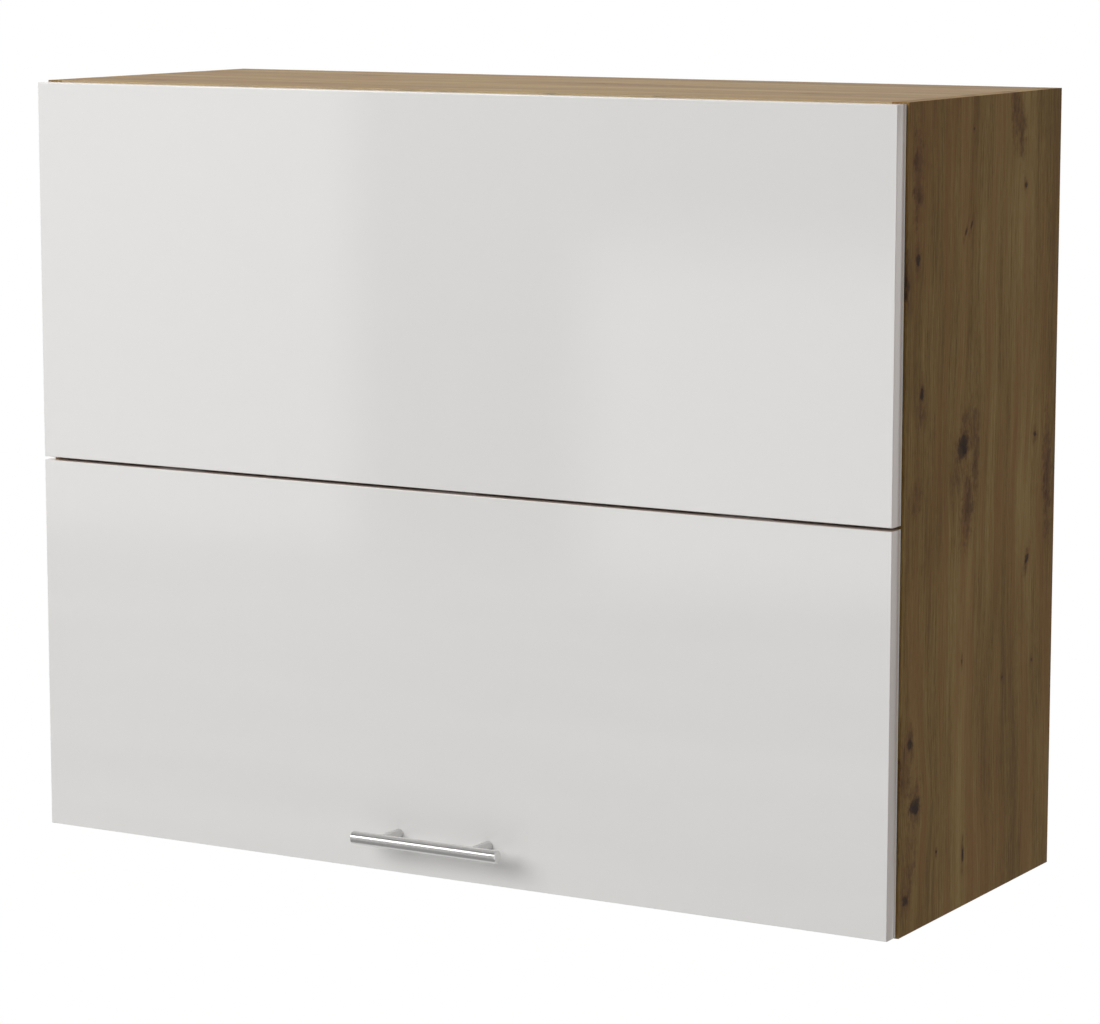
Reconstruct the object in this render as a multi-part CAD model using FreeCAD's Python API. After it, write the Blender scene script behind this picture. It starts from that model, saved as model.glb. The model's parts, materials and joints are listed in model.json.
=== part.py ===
import FreeCAD, Part
import math
import os

# Kitchen wall cabinet with a two-part folding lift-up front.
# Lengths are in millimetres. +Z is up, the front faces -Y, the wall plane is Y = 0.
# The origin is the middle of the cabinet's lower rear edge.

# Carcass boards
WIDTH = 900.0
HEIGHT = 720.0
DEPTH = 325.0
BOARD = 16.0
EDGING = 1.0
BACK_THICK = 3.0
BACK_RECESS = 16.0
GROOVE_DEPTH = 8.0
GROOVE_PLAY = 0.1
BACK_END_PLAY = 0.2

# Shelf, its supports and the rows of holes for moving it
SHELF_SETBACK = 64.0
SHELF_REAR_PLAY = 1.0
SHELF_SIDE_PLAY = 1.0
PEG_R = 2.5
PEG_DEPTH = 8.0
PEG_TONGUE = 8.0
PEG_TONGUE_THICK = 3.0
HOLE_PITCH = 32.0
HOLES_EACH_WAY = 2
HOLE_DEPTH = 11.0
ROW_FROM_REAR = 64.0
ROW_FROM_SHELF_FRONT = 37.0

# Corner joints: cam, cam bolt and dowel
CAM_R = 7.5
CAM_DEEP = 12.5
CAM_FROM_END = 34.0
CAM_FRONT_INSET = 50.0
CAM_REAR_INSET = 60.0
DOWEL_STEP = 32.0
DOWEL_R = 4.0
DOWEL_IN_SIDE = 10.0
DOWEL_IN_PANEL = 20.0
DOWEL_END_ROOM = 1.0
CAM_BOLT_R = 2.5
CAM_BOLT_HEAD_R = 3.5
CAM_BOLT_IN_SIDE = 11.0
CAM_BORE_R = 4.0

# Fronts
FRONT_THICK = 18.0
FRONT_SIDE_MARGIN = 2.0
FRONT_TOP_MARGIN = 1.5
FRONT_BOTTOM_MARGIN = 1.5
FRONT_SPLIT = 3.0
FRONT_GAP = 1.5

# Handle
HANDLE_LENGTH = 155.0
HANDLE_R = 6.0
HANDLE_CHAMFER = 0.8
HANDLE_CENTRES = 96.0
HANDLE_STANDOFF = 32.0
HANDLE_UP = 37.8
POST_R = 5.0
POST_IN_BAR = 3.0
POST_THREAD_R = 2.0
HANDLE_SCREW_DEEP = 14.0

# Top hinges: a hooked arm turning on a pin inside a pocket of the upper front
HINGE_FROM_END = 170.0
HINGE_PIN_OUT = 12.0
HINGE_PIN_DROP = 7.0
HINGE_PIN_R = 1.25
HINGE_EYE_R = 2.5
HINGE_ARM_WIDE = 8.0
HINGE_ARM_THICK = 3.0
HINGE_HOOK_DROP = 13.5
HINGE_PLATE_WIDE = 40.0
HINGE_PLATE_LONG = 44.0
HINGE_PLATE_FROM_EDGE = 8.0
POCKET_SIDE_WALL = 5.0
POCKET_ROOM = 0.5
POCKET_TOP_SKIN = 2.0
POCKET_TALL = 24.0
POCKET_DEEP = 13.5
EAR_WIDE = 11.0
EAR_TALL = 14.0
EAR_THICK = 1.2

# Fold hinges between the two fronts
FOLD_FROM_END = 150.0
FOLD_AXIS_BACK = 3.0
FOLD_KNUCKLE_R = 2.6
FOLD_PIN_R = 1.25
FOLD_LEAF_THICK = 1.5
FOLD_LEAF_LONG = 50.0
FOLD_LEAF_TALL = 32.0
FOLD_MIDDLE_LONG = 17.4
FOLD_END_PLAY = 0.3
FOLD_RELIEF = 3.2
FOLD_SCREW_X = 17.0
FOLD_SCREW_Z = 21.0

# Lift mechanism on each side panel
OPENING = 90.0
FOLD_RATIO = 1.2
ARM_RATIO = 0.975
LIFT_PIVOT_BACK = 42.0
LIFT_PIVOT_DROP = 92.0
ROLLER_BACK = 30.0
ROLLER_BELOW_FOLD = 86.5
UNIT_DEEP = 24.0
UNIT_WALL = 2.0
UNIT_FRONT = 20.0
UNIT_REAR = 176.0
UNIT_ABOVE = 62.0
UNIT_BELOW = 62.0
UNIT_SCREW_INSET = 9.0
BOSS_R = 12.0
PIVOT_R = 4.0
PIVOT_HEAD_R = 6.5
PIVOT_HEAD_THICK = 2.0
COVER_THICK = 4.0
COVER_FROM_PIVOT = 24.0
SPRING_R = 8.0
SPRING_LONG = 92.0
SPRING_BLOCK = 6.0
SPRING_DROP = 34.0
SPRING_RIBS = 8

# Lift arms
ARM_THICK = 10.0
ARM_WIDE = 16.0
ARM_TUBE_LONG = 215.0
ARM_CAVITY_FROM = 140.0
ARM_GAP = 0.3
ROD_THICK = 5.0
ROD_WIDE = 9.0
ROD_FROM = 142.0
ROD_SLOT_FROM = 160.0
ROD_SLOT_TO = 240.0
ROD_EYE_R = 7.0
CLAMP_AT = (172.0, 200.0)
ROLLER_R = 3.0
ROLLER_SHOULDER_R = 4.5
ROLLER_RING_R = 6.0
ROLLER_RING_THICK = 2.0

# Slotted brackets on the lower front
BRACKET_BASE_THICK = 3.0
BRACKET_BASE_WIDE = 34.0
BRACKET_BASE_TALL = 60.0
BRACKET_WEB_THICK = 4.0
BRACKET_WEB_RIM = 5.0
BRACKET_WEB_FROM_ARM = 3.0
BRACKET_SCREW_Z = 22.0
SLOT_PLAY = 0.15

# Wall hanging: hanger in each upper rear corner, hook and wall plate
HANGER_WIDE = 20.0
HANGER_LONG = 58.0
HANGER_TALL = 62.0
HANGER_TOP_ROOM = 4.0
HOOK_THICK = 3.0
HOOK_WIDE = 14.0
HOOK_DROP = 40.0
HOOK_LIP = 16.0
PLATE_THICK = 2.0
PLATE_WIDE = 40.0
PLATE_TALL = 44.0
PLATE_TONGUE = 22.0
PLATE_FROM_SIDE = 2.0
PLATE_HOLE_R = 3.25
PLATE_HOLE_SPACING = 24.0
PLATE_HOLE_UP = 9.0
WINDOW_ROOM = 3.0

# Bumpers
BUMPER_R = 4.0
BUMPER_THICK = 1.4
BUMPER_IN = 10.0

# Screws and fits
FIT = 0.05
WOOD_R = 1.75
WOOD_HEAD_R = 3.5
WOOD_LONG = 13.0
SMALL_R = 1.5
SMALL_HEAD_R = 3.0
SMALL_LONG = 12.0
DRIVE_WIDE = 0.8
DRIVE_DEEP = 0.9

# Places worked out from the sizes above
HALF = WIDTH / 2
INNER_X = HALF - BOARD
TOP_UNDER = HEIGHT - BOARD
FRONT_EDGE_Y = -DEPTH
FRONT_BACK_Y = -DEPTH - FRONT_GAP
FRONT_FACE_Y = FRONT_BACK_Y - FRONT_THICK
FRONT_HALF = HALF - FRONT_SIDE_MARGIN
FRONT_TOP_Z = HEIGHT - FRONT_TOP_MARGIN
FRONT_TALL = (HEIGHT - FRONT_TOP_MARGIN - FRONT_BOTTOM_MARGIN - FRONT_SPLIT) / 2
LOWER_TOP_Z = FRONT_BOTTOM_MARGIN + FRONT_TALL
UPPER_LOW_Z = LOWER_TOP_Z + FRONT_SPLIT
SPLIT_Z = LOWER_TOP_Z + FRONT_SPLIT / 2
BACK_FACE_Y = -BACK_RECESS - BACK_THICK
SHELF_FRONT_Y = -DEPTH + SHELF_SETBACK
SHELF_REAR_Y = BACK_FACE_Y - SHELF_REAR_PLAY
SHELF_Z = SPLIT_Z - BOARD
SHELF_HALF = INNER_X - SHELF_SIDE_PLAY
HINGE_Y = -DEPTH - HINGE_PIN_OUT
HINGE_Z = HEIGHT - HINGE_PIN_DROP
FOLD_Y = FRONT_BACK_Y + FOLD_AXIS_BACK
PIVOT_Y = -DEPTH + LIFT_PIVOT_BACK
PIVOT_Z = HEIGHT - LIFT_PIVOT_DROP
ROLLER_Y = -DEPTH + ROLLER_BACK
ROLLER_Z = SPLIT_Z - ROLLER_BELOW_FOLD
UNIT_FACE_X = INNER_X - UNIT_DEEP
ARM_OUTER_X = UNIT_FACE_X - 2.0
ARM_INNER_X = ARM_OUTER_X - ARM_THICK
ARM_MID_X = ARM_OUTER_X - ARM_THICK / 2
WEB_X = ARM_OUTER_X + BRACKET_WEB_FROM_ARM
HANDLE_Y = FRONT_FACE_Y - HANDLE_STANDOFF
HANDLE_Z = HANDLE_UP
HINGE_X = HALF - HINGE_FROM_END
FOLD_XS = (FOLD_FROM_END - HALF, 0.0, HALF - FOLD_FROM_END)

SIDES = {"left": -1, "right": 1}


# Basic shapes
def box(x0, x1, y0, y1, z0, z1):
    low = FreeCAD.Vector(min(x0, x1), min(y0, y1), min(z0, z1))
    return Part.makeBox(abs(x1 - x0), abs(y1 - y0), abs(z1 - z0), low)


def cylinder(start, direction, radius, length):
    return Part.makeCylinder(radius, length, FreeCAD.Vector(*start), FreeCAD.Vector(*direction))


def turned(profile, start, direction):
    points = [FreeCAD.Vector(radius, 0, along) for radius, along in profile]
    face = Part.Face(Part.makePolygon(points + [points[0]]))
    solid = face.revolve(FreeCAD.Vector(0, 0, 0), FreeCAD.Vector(0, 0, 1), 360)
    if solid.Volume < 0:
        solid.reverse()
    turn = FreeCAD.Rotation(FreeCAD.Vector(0, 0, 1), FreeCAD.Vector(*direction))
    solid.Placement = FreeCAD.Placement(FreeCAD.Vector(*start), turn)
    return solid


def side_box(side, x0, x1, y0, y1, z0, z1):
    return box(side * x0, side * x1, y0, y1, z0, z1)


# Countersunk screws and the holes they sit in
def screw_profile(radius, head_radius, length, extra=0.0):
    cone = head_radius - radius
    tip = radius
    return [
        (0, 0),
        (head_radius + extra, 0),
        (radius + extra, cone),
        (radius + extra, length - tip + extra),
        (0, length + extra),
    ]


def drive_cross(start, direction, head_radius):
    arm = head_radius * 0.6
    cross = box(-arm, arm, -DRIVE_WIDE / 2, DRIVE_WIDE / 2, 0, DRIVE_DEEP)
    cross = cross.fuse(box(-DRIVE_WIDE / 2, DRIVE_WIDE / 2, -arm, arm, 0, DRIVE_DEEP))
    turn = FreeCAD.Rotation(FreeCAD.Vector(0, 0, 1), FreeCAD.Vector(*direction))
    cross.Placement = FreeCAD.Placement(FreeCAD.Vector(*start), turn)
    return cross


def screw(start, direction, radius, head_radius, length):
    body = turned(screw_profile(radius, head_radius, length), start, direction)
    return body.cut(drive_cross(start, direction, head_radius))


def screw_hole(start, direction, radius, head_radius, length):
    return turned(screw_profile(radius, head_radius, length, FIT), start, direction)


def wood_screws(places, direction):
    return [screw(p, direction, WOOD_R, WOOD_HEAD_R, WOOD_LONG) for p in places]


def wood_holes(places, direction):
    return [screw_hole(p, direction, WOOD_R, WOOD_HEAD_R, WOOD_LONG) for p in places]


def small_screws(places, direction):
    return [screw(p, direction, SMALL_R, SMALL_HEAD_R, SMALL_LONG) for p in places]


def small_holes(places, direction):
    return [screw_hole(p, direction, SMALL_R, SMALL_HEAD_R, SMALL_LONG) for p in places]


# Places of the corner joints along the depth
def cam_depths():
    return (-DEPTH + CAM_FRONT_INSET, -CAM_REAR_INSET)


def dowel_depths():
    return (-DEPTH + CAM_FRONT_INSET + DOWEL_STEP, -CAM_REAR_INSET - DOWEL_STEP)


def panel_centres():
    return (HEIGHT - BOARD / 2, BOARD / 2)


# Places of the shelf pegs
def peg_depths():
    return (SHELF_FRONT_Y + ROW_FROM_SHELF_FRONT, -ROW_FROM_REAR)


def peg_height():
    return SHELF_Z - PEG_TONGUE_THICK / 2


# Places of the lift unit screws, hanger screws and hinge screws
def unit_span():
    front = PIVOT_Y - UNIT_FRONT
    rear = -DEPTH + UNIT_REAR
    return front, rear, PIVOT_Z - UNIT_BELOW, PIVOT_Z + UNIT_ABOVE


def unit_screw_places(side):
    front, rear, low, high = unit_span()
    x = side * (INNER_X - UNIT_WALL)
    return [
        (x, y, z)
        for y in (front + UNIT_SCREW_INSET, rear - UNIT_SCREW_INSET)
        for z in (low + UNIT_SCREW_INSET, high - UNIT_SCREW_INSET)
    ]


def hanger_span():
    rear = BACK_FACE_Y
    high = TOP_UNDER - HANGER_TOP_ROOM
    return rear - HANGER_LONG, rear, high - HANGER_TALL, high


def hanger_screw_places(side):
    front, rear, low, high = hanger_span()
    x = side * (INNER_X - UNIT_WALL)
    return [(x, front + 10.0, low + 9.0), (x, front + 10.0, high - 9.0)]


def hinge_arm_screw_places(side):
    y = HINGE_PLATE_FROM_EDGE - DEPTH + HINGE_PLATE_LONG / 2
    z = TOP_UNDER - HINGE_ARM_THICK
    reach = HINGE_PLATE_WIDE / 2 - 7.0
    return [(side * HINGE_X - reach, y, z), (side * HINGE_X + reach, y, z)]


def pocket_half():
    return HINGE_ARM_WIDE / 2 + POCKET_ROOM + POCKET_SIDE_WALL


def ear_centre_z():
    return FRONT_TOP_Z - POCKET_TOP_SKIN - POCKET_TALL / 2


def cup_screw_places(side):
    reach = pocket_half() + EAR_WIDE / 2
    y = FRONT_BACK_Y + EAR_THICK
    return [(side * HINGE_X - reach, y, ear_centre_z()), (side * HINGE_X + reach, y, ear_centre_z())]


def fold_screw_places(centre, up):
    y = FRONT_BACK_Y + FOLD_LEAF_THICK
    z = SPLIT_Z + up * FOLD_SCREW_Z
    return [(centre - FOLD_SCREW_X, y, z), (centre + FOLD_SCREW_X, y, z)]


def bracket_base():
    inner = WEB_X - BRACKET_BASE_WIDE / 2 + 3.0
    return inner, inner + BRACKET_BASE_WIDE


def bracket_screw_places(side):
    inner, outer = bracket_base()
    y = FRONT_BACK_Y + BRACKET_BASE_THICK
    return [
        (side * x, y, ROLLER_Z + up * BRACKET_SCREW_Z)
        for x in (inner + 7.0, outer - 7.0)
        for up in (-1, 1)
    ]


def upper_front_screw_places():
    cups = [p for side in SIDES.values() for p in cup_screw_places(side)]
    return cups + [p for x in FOLD_XS for p in fold_screw_places(x, 1)]


def lower_front_screw_places():
    brackets = [p for side in SIDES.values() for p in bracket_screw_places(side)]
    return brackets + [p for x in FOLD_XS for p in fold_screw_places(x, -1)]


def fitting_screws(side):
    sideways = hanger_screw_places(side) + unit_screw_places(side)
    upward = hinge_arm_screw_places(side)
    return wood_screws(sideways, (side, 0, 0)) + wood_screws(upward, (0, 0, 1))


# Path of the arm's roller seen from the lower front while the front opens
def roller_track(steps=36):
    pivot = complex(PIVOT_Y, PIVOT_Z)
    hinge = complex(HINGE_Y, HINGE_Z)
    fold = complex(FOLD_Y, SPLIT_Z)
    roller = complex(ROLLER_Y, ROLLER_Z)
    track = []
    for step in range(steps + 1):
        angle = math.radians(OPENING) * step / steps
        fold_now = hinge + (fold - hinge) * complex(math.cos(angle), -math.sin(angle))
        arm_turn = ARM_RATIO * angle
        roller_now = pivot + (roller - pivot) * complex(math.cos(arm_turn), -math.sin(arm_turn))
        front_turn = angle - FOLD_RATIO * angle
        seen = (roller_now - fold_now) * complex(math.cos(front_turn), math.sin(front_turn))
        track.append(seen - (roller - fold))
    return track


def slot_span():
    track = roller_track()
    ys = [p.real for p in track]
    zs = [p.imag for p in track]
    room = ROLLER_R + SLOT_PLAY
    end_room = room + (max(ys) - min(ys)) / 2
    return (
        ROLLER_Y + min(ys) - room,
        ROLLER_Y + max(ys) + room,
        ROLLER_Z + min(zs) - end_room,
        ROLLER_Z + max(zs) + end_room,
    )


# Carcass boards
def side_panel(side):
    panel = side_box(side, INNER_X, HALF, -DEPTH + EDGING, 0, 0, HEIGHT)
    tools = [
        side_box(
            side, INNER_X, INNER_X + GROOVE_DEPTH,
            BACK_FACE_Y - GROOVE_PLAY, -BACK_RECESS,
            BOARD - GROOVE_DEPTH, TOP_UNDER + GROOVE_DEPTH,
        )
    ]
    outward = (side, 0, 0)
    for z in panel_centres():
        for y in cam_depths():
            tools.append(cylinder((side * INNER_X, y, z), outward, CAM_BOLT_R + FIT, CAM_BOLT_IN_SIDE + FIT))
        for y in dowel_depths():
            tools.append(
                cylinder((side * INNER_X, y, z), outward, DOWEL_R + FIT, DOWEL_IN_SIDE + DOWEL_END_ROOM)
            )
    for y in peg_depths():
        for step in range(-HOLES_EACH_WAY, HOLES_EACH_WAY + 1):
            z = peg_height() + step * HOLE_PITCH
            tools.append(cylinder((side * INNER_X, y, z), outward, PEG_R + FIT, HOLE_DEPTH))
    tools += wood_holes(unit_screw_places(side), outward)
    tools += wood_holes(hanger_screw_places(side), outward)
    return panel.cut(tools)


def level_panel(z0, inner_face, up):
    panel = box(-INNER_X, INNER_X, -DEPTH + EDGING, 0, z0, z0 + BOARD)
    groove_to = inner_face - up * GROOVE_DEPTH
    tools = [box(-INNER_X, INNER_X, BACK_FACE_Y - GROOVE_PLAY, -BACK_RECESS, inner_face, groove_to)]
    middle = z0 + BOARD / 2
    for side in SIDES.values():
        inward = (-side, 0, 0)
        for y in cam_depths():
            centre = (side * (INNER_X - CAM_FROM_END), y, inner_face)
            tools.append(cylinder(centre, (0, 0, -up), CAM_R + FIT, CAM_DEEP + FIT))
            tools.append(cylinder((side * INNER_X, y, middle), inward, CAM_BORE_R, CAM_FROM_END))
        for y in dowel_depths():
            depth = DOWEL_IN_PANEL + DOWEL_END_ROOM
            tools.append(cylinder((side * INNER_X, y, middle), inward, DOWEL_R + FIT, depth))
    return panel.cut(tools)


def top_panel():
    panel = level_panel(TOP_UNDER, TOP_UNDER, -1)
    holes = []
    for side in SIDES.values():
        holes += wood_holes(hinge_arm_screw_places(side), (0, 0, 1))
    return panel.cut(holes)


def bottom_panel():
    return level_panel(0, BOARD, 1)


def back_panel():
    reach = GROOVE_DEPTH - BACK_END_PLAY
    panel = box(
        -INNER_X - reach, INNER_X + reach, BACK_FACE_Y, -BACK_RECESS, BOARD - reach, TOP_UNDER + reach
    )
    windows = []
    for side in SIDES.values():
        x0, x1, z0, z1 = hook_span()
        low = z0 - HOOK_LIP - WINDOW_ROOM
        windows.append(
            side_box(side, x0 - WINDOW_ROOM, x1 + WINDOW_ROOM, BACK_FACE_Y, -BACK_RECESS, low, z1 + WINDOW_ROOM)
        )
    return panel.cut(windows)


def shelf():
    return box(-SHELF_HALF, SHELF_HALF, SHELF_FRONT_Y + EDGING, SHELF_REAR_Y, SHELF_Z, SHELF_Z + BOARD)


def edging_strip(x0, x1, y, z0, z1):
    return box(x0, x1, y, y + EDGING, z0, z1)


# Corner joint fittings
def cam(centre, up, side):
    body = cylinder(centre, (0, 0, -up), CAM_R, CAM_DEEP)
    middle = centre[2] - up * BOARD / 2
    mouth = (side * INNER_X, centre[1], middle)
    bore = cylinder(mouth, (-side, 0, 0), CAM_BOLT_HEAD_R + FIT, CAM_FROM_END + CAM_BOLT_HEAD_R / 2)
    return body.cut([bore, drive_cross(centre, (0, 0, -up), CAM_R)])


def cam_bolt(place, side):
    start = (side * (INNER_X + CAM_BOLT_IN_SIDE), place[0], place[1])
    shank = CAM_BOLT_IN_SIDE + CAM_FROM_END - CAM_BOLT_HEAD_R / 2
    profile = [
        (0, 0),
        (CAM_BOLT_R - 0.5, 0),
        (CAM_BOLT_R, 0.5),
        (CAM_BOLT_R, shank - 3.0),
        (CAM_BOLT_HEAD_R, shank - 2.0),
        (CAM_BOLT_HEAD_R, shank + 2.0),
        (CAM_BOLT_HEAD_R - 1.0, shank + CAM_BOLT_HEAD_R / 2 + 1.0),
        (0, shank + CAM_BOLT_HEAD_R / 2 + 1.0),
    ]
    return turned(profile, start, (-side, 0, 0))


def dowel(place, side):
    start = (side * (INNER_X + DOWEL_IN_SIDE), place[0], place[1])
    length = DOWEL_IN_SIDE + DOWEL_IN_PANEL
    profile = [
        (0, 0), (DOWEL_R - 1.0, 0), (DOWEL_R, 1.0), (DOWEL_R, length - 1.0), (DOWEL_R - 1.0, length), (0, length),
    ]
    return turned(profile, start, (-side, 0, 0))


def corner_fittings():
    cams, bolts, dowels = [], [], []
    for side in SIDES.values():
        for z, face, up in ((HEIGHT - BOARD / 2, TOP_UNDER, -1), (BOARD / 2, BOARD, 1)):
            for y in cam_depths():
                cams.append(cam((side * (INNER_X - CAM_FROM_END), y, face), up, side))
                bolts.append(cam_bolt((y, z), side))
            for y in dowel_depths():
                dowels.append(dowel((y, z), side))
    return cams, bolts, dowels


def shelf_peg(side, y):
    z = peg_height()
    shank = cylinder((side * (INNER_X + PEG_DEPTH), y, z), (-side, 0, 0), PEG_R, PEG_DEPTH + 1.0)
    tongue = side_box(
        side, INNER_X - PEG_TONGUE, INNER_X, y - PEG_R, y + PEG_R, SHELF_Z - PEG_TONGUE_THICK, SHELF_Z
    )
    trim = side_box(side, INNER_X - PEG_TONGUE, INNER_X, y - 9.0, y + 9.0, SHELF_Z, SHELF_Z + 9.0)
    return shank.cut(trim).fuse(tongue).removeSplitter()


# Wall hanging parts
def hook_span():
    front, rear, low, high = hanger_span()
    x1 = INNER_X - 3.0
    z1 = high - HOOK_DROP + HOOK_THICK
    return x1 - HOOK_WIDE, x1, z1 - HOOK_THICK, z1


def hanger(side):
    front, rear, low, high = hanger_span()
    body = side_box(side, INNER_X - HANGER_WIDE, INNER_X, front, rear, low, high)
    hollow = side_box(
        side, INNER_X - HANGER_WIDE + UNIT_WALL, INNER_X - UNIT_WALL,
        front + 22.0, rear, low + UNIT_WALL, high - UNIT_WALL,
    )
    reach = side_box(
        side, INNER_X - HANGER_WIDE, INNER_X - UNIT_WALL, front, front + 20.0, low + 2.0, low + 18.0
    )
    reach_high = reach.translated(FreeCAD.Vector(0, 0, HANGER_TALL - 20.0))
    key = cylinder(
        (side * (INNER_X - HANGER_WIDE / 2), front, (low + high) / 2), (0, 1, 0), 3.5, 12.0
    )
    places = hanger_screw_places(side)
    return body.cut([hollow, reach, reach_high, key] + wood_holes(places, (side, 0, 0)))


def hanger_hook(side):
    x0, x1, z0, z1 = hook_span()
    front, rear, low, high = hanger_span()
    strip = side_box(side, x0, x1, front + 22.0, -PLATE_THICK - 0.5, z0, z1)
    lip = side_box(
        side, x0, x1, -PLATE_THICK - 0.5 - HOOK_THICK, -PLATE_THICK - 0.5, z0 - HOOK_LIP, z1
    )
    root = side_box(side, x0, x1, front + 22.0, front + 22.0 + HOOK_THICK, low + UNIT_WALL, z1)
    return strip.fuse([lip, root]).removeSplitter()


def plate_hole_places(side):
    x0, x1, z0, z1 = hook_span()
    top = z0
    low = top - PLATE_TONGUE - PLATE_TALL + PLATE_THICK
    x = side * (INNER_X - PLATE_FROM_SIDE - PLATE_WIDE / 2)
    return [(x, 0, low + PLATE_HOLE_UP), (x, 0, low + PLATE_HOLE_UP + PLATE_HOLE_SPACING)]


def wall_plate(side):
    x0, x1, z0, z1 = hook_span()
    outer = INNER_X - PLATE_FROM_SIDE
    inner = outer - PLATE_WIDE
    bend = z0 - PLATE_TONGUE
    low = bend - PLATE_TALL + PLATE_THICK
    lift = PLATE_THICK + 0.5 + HOOK_THICK + 0.5
    flat = side_box(side, inner, outer, -PLATE_THICK, 0, low, bend + PLATE_THICK)
    step = side_box(side, inner, outer, -lift - PLATE_THICK, 0, bend, bend + PLATE_THICK)
    tongue = side_box(side, inner, outer, -lift - PLATE_THICK, -lift, bend, z0)
    plate = flat.fuse([step, tongue]).removeSplitter()
    holes = [cylinder(p, (0, -1, 0), PLATE_HOLE_R, PLATE_THICK) for p in plate_hole_places(side)]
    return plate.cut(holes)


# Top hinges
def hinge_arm(side):
    x0 = side * HINGE_X - HINGE_ARM_WIDE / 2
    x1 = side * HINGE_X + HINGE_ARM_WIDE / 2
    half = HINGE_ARM_THICK / 2
    low = HINGE_Z - HINGE_HOOK_DROP - half
    plate_front = -DEPTH + HINGE_PLATE_FROM_EDGE
    plate_rear = plate_front + HINGE_PLATE_LONG
    eye = cylinder((x0, HINGE_Y, HINGE_Z), (1, 0, 0), HINGE_EYE_R, HINGE_ARM_WIDE)
    neck = box(x0, x1, HINGE_Y - half, HINGE_Y + half, low, HINGE_Z)
    leg_top = TOP_UNDER - HINGE_ARM_THICK
    leg = box(x0, x1, HINGE_Y - half, plate_rear, low, max(low + HINGE_ARM_THICK, low + 1.0))
    riser = box(x0, x1, plate_front, plate_rear, low, leg_top)
    plate = box(
        side * HINGE_X - HINGE_PLATE_WIDE / 2, side * HINGE_X + HINGE_PLATE_WIDE / 2,
        plate_front, plate_rear, leg_top, TOP_UNDER,
    )
    arm = eye.fuse([neck, leg, riser, plate]).removeSplitter()
    bore = cylinder((x0, HINGE_Y, HINGE_Z), (1, 0, 0), HINGE_PIN_R + FIT, HINGE_ARM_WIDE)
    return arm.cut([bore] + wood_holes(hinge_arm_screw_places(side), (0, 0, 1)))


def pocket_box(side, play=0.0):
    reach = pocket_half() + play
    top = FRONT_TOP_Z - POCKET_TOP_SKIN + play
    low = FRONT_TOP_Z - POCKET_TOP_SKIN - POCKET_TALL - play
    return box(
        side * HINGE_X - reach, side * HINGE_X + reach,
        FRONT_BACK_Y, FRONT_BACK_Y - POCKET_DEEP - play, low, top,
    )


def hinge_cup(side):
    wall = 1.0
    ears = box(
        side * HINGE_X - pocket_half() - EAR_WIDE, side * HINGE_X + pocket_half() + EAR_WIDE,
        FRONT_BACK_Y, FRONT_BACK_Y + EAR_THICK,
        ear_centre_z() - EAR_TALL / 2, ear_centre_z() + EAR_TALL / 2,
    )
    clear = HINGE_ARM_WIDE / 2 + POCKET_ROOM
    slot = box(
        side * HINGE_X - clear, side * HINGE_X + clear,
        FRONT_BACK_Y + EAR_THICK, FRONT_BACK_Y - POCKET_DEEP + wall / 2,
        FRONT_TOP_Z - POCKET_TOP_SKIN - POCKET_TALL + wall, FRONT_TOP_Z - POCKET_TOP_SKIN - wall / 2,
    )
    pin_reach = pocket_half() - 1.5
    pin = cylinder(
        (side * HINGE_X - pin_reach, HINGE_Y, HINGE_Z), (1, 0, 0), HINGE_PIN_R + FIT, 2 * pin_reach
    )
    cup = pocket_box(side).fuse(ears).removeSplitter()
    return cup.cut([slot, pin] + small_holes(cup_screw_places(side), (0, -1, 0)))


def hinge_pin(side):
    reach = pocket_half() - 1.5
    return cylinder((side * HINGE_X - reach, HINGE_Y, HINGE_Z), (1, 0, 0), HINGE_PIN_R, 2 * reach)


# Fronts with their edging
def front_board(z0):
    return box(
        -FRONT_HALF + EDGING, FRONT_HALF - EDGING,
        FRONT_FACE_Y, FRONT_BACK_Y, z0 + EDGING, z0 + FRONT_TALL - EDGING,
    )


def front_edging(z0):
    outer = box(-FRONT_HALF, FRONT_HALF, FRONT_FACE_Y, FRONT_BACK_Y, z0, z0 + FRONT_TALL)
    return outer.cut(front_board(z0))


def upper_front():
    pockets = [pocket_box(side, FIT) for side in SIDES.values()]
    return front_board(UPPER_LOW_Z).cut(pockets + small_holes(upper_front_screw_places(), (0, -1, 0)))


def lower_front():
    tools = small_holes(lower_front_screw_places(), (0, -1, 0))
    for side in SIDES.values():
        hole = (side * HANDLE_CENTRES / 2, FRONT_BACK_Y, HANDLE_Z)
        tools.append(cylinder(hole, (0, -1, 0), POST_THREAD_R + FIT, FRONT_THICK))
    return front_board(FRONT_BOTTOM_MARGIN).cut(tools)


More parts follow.
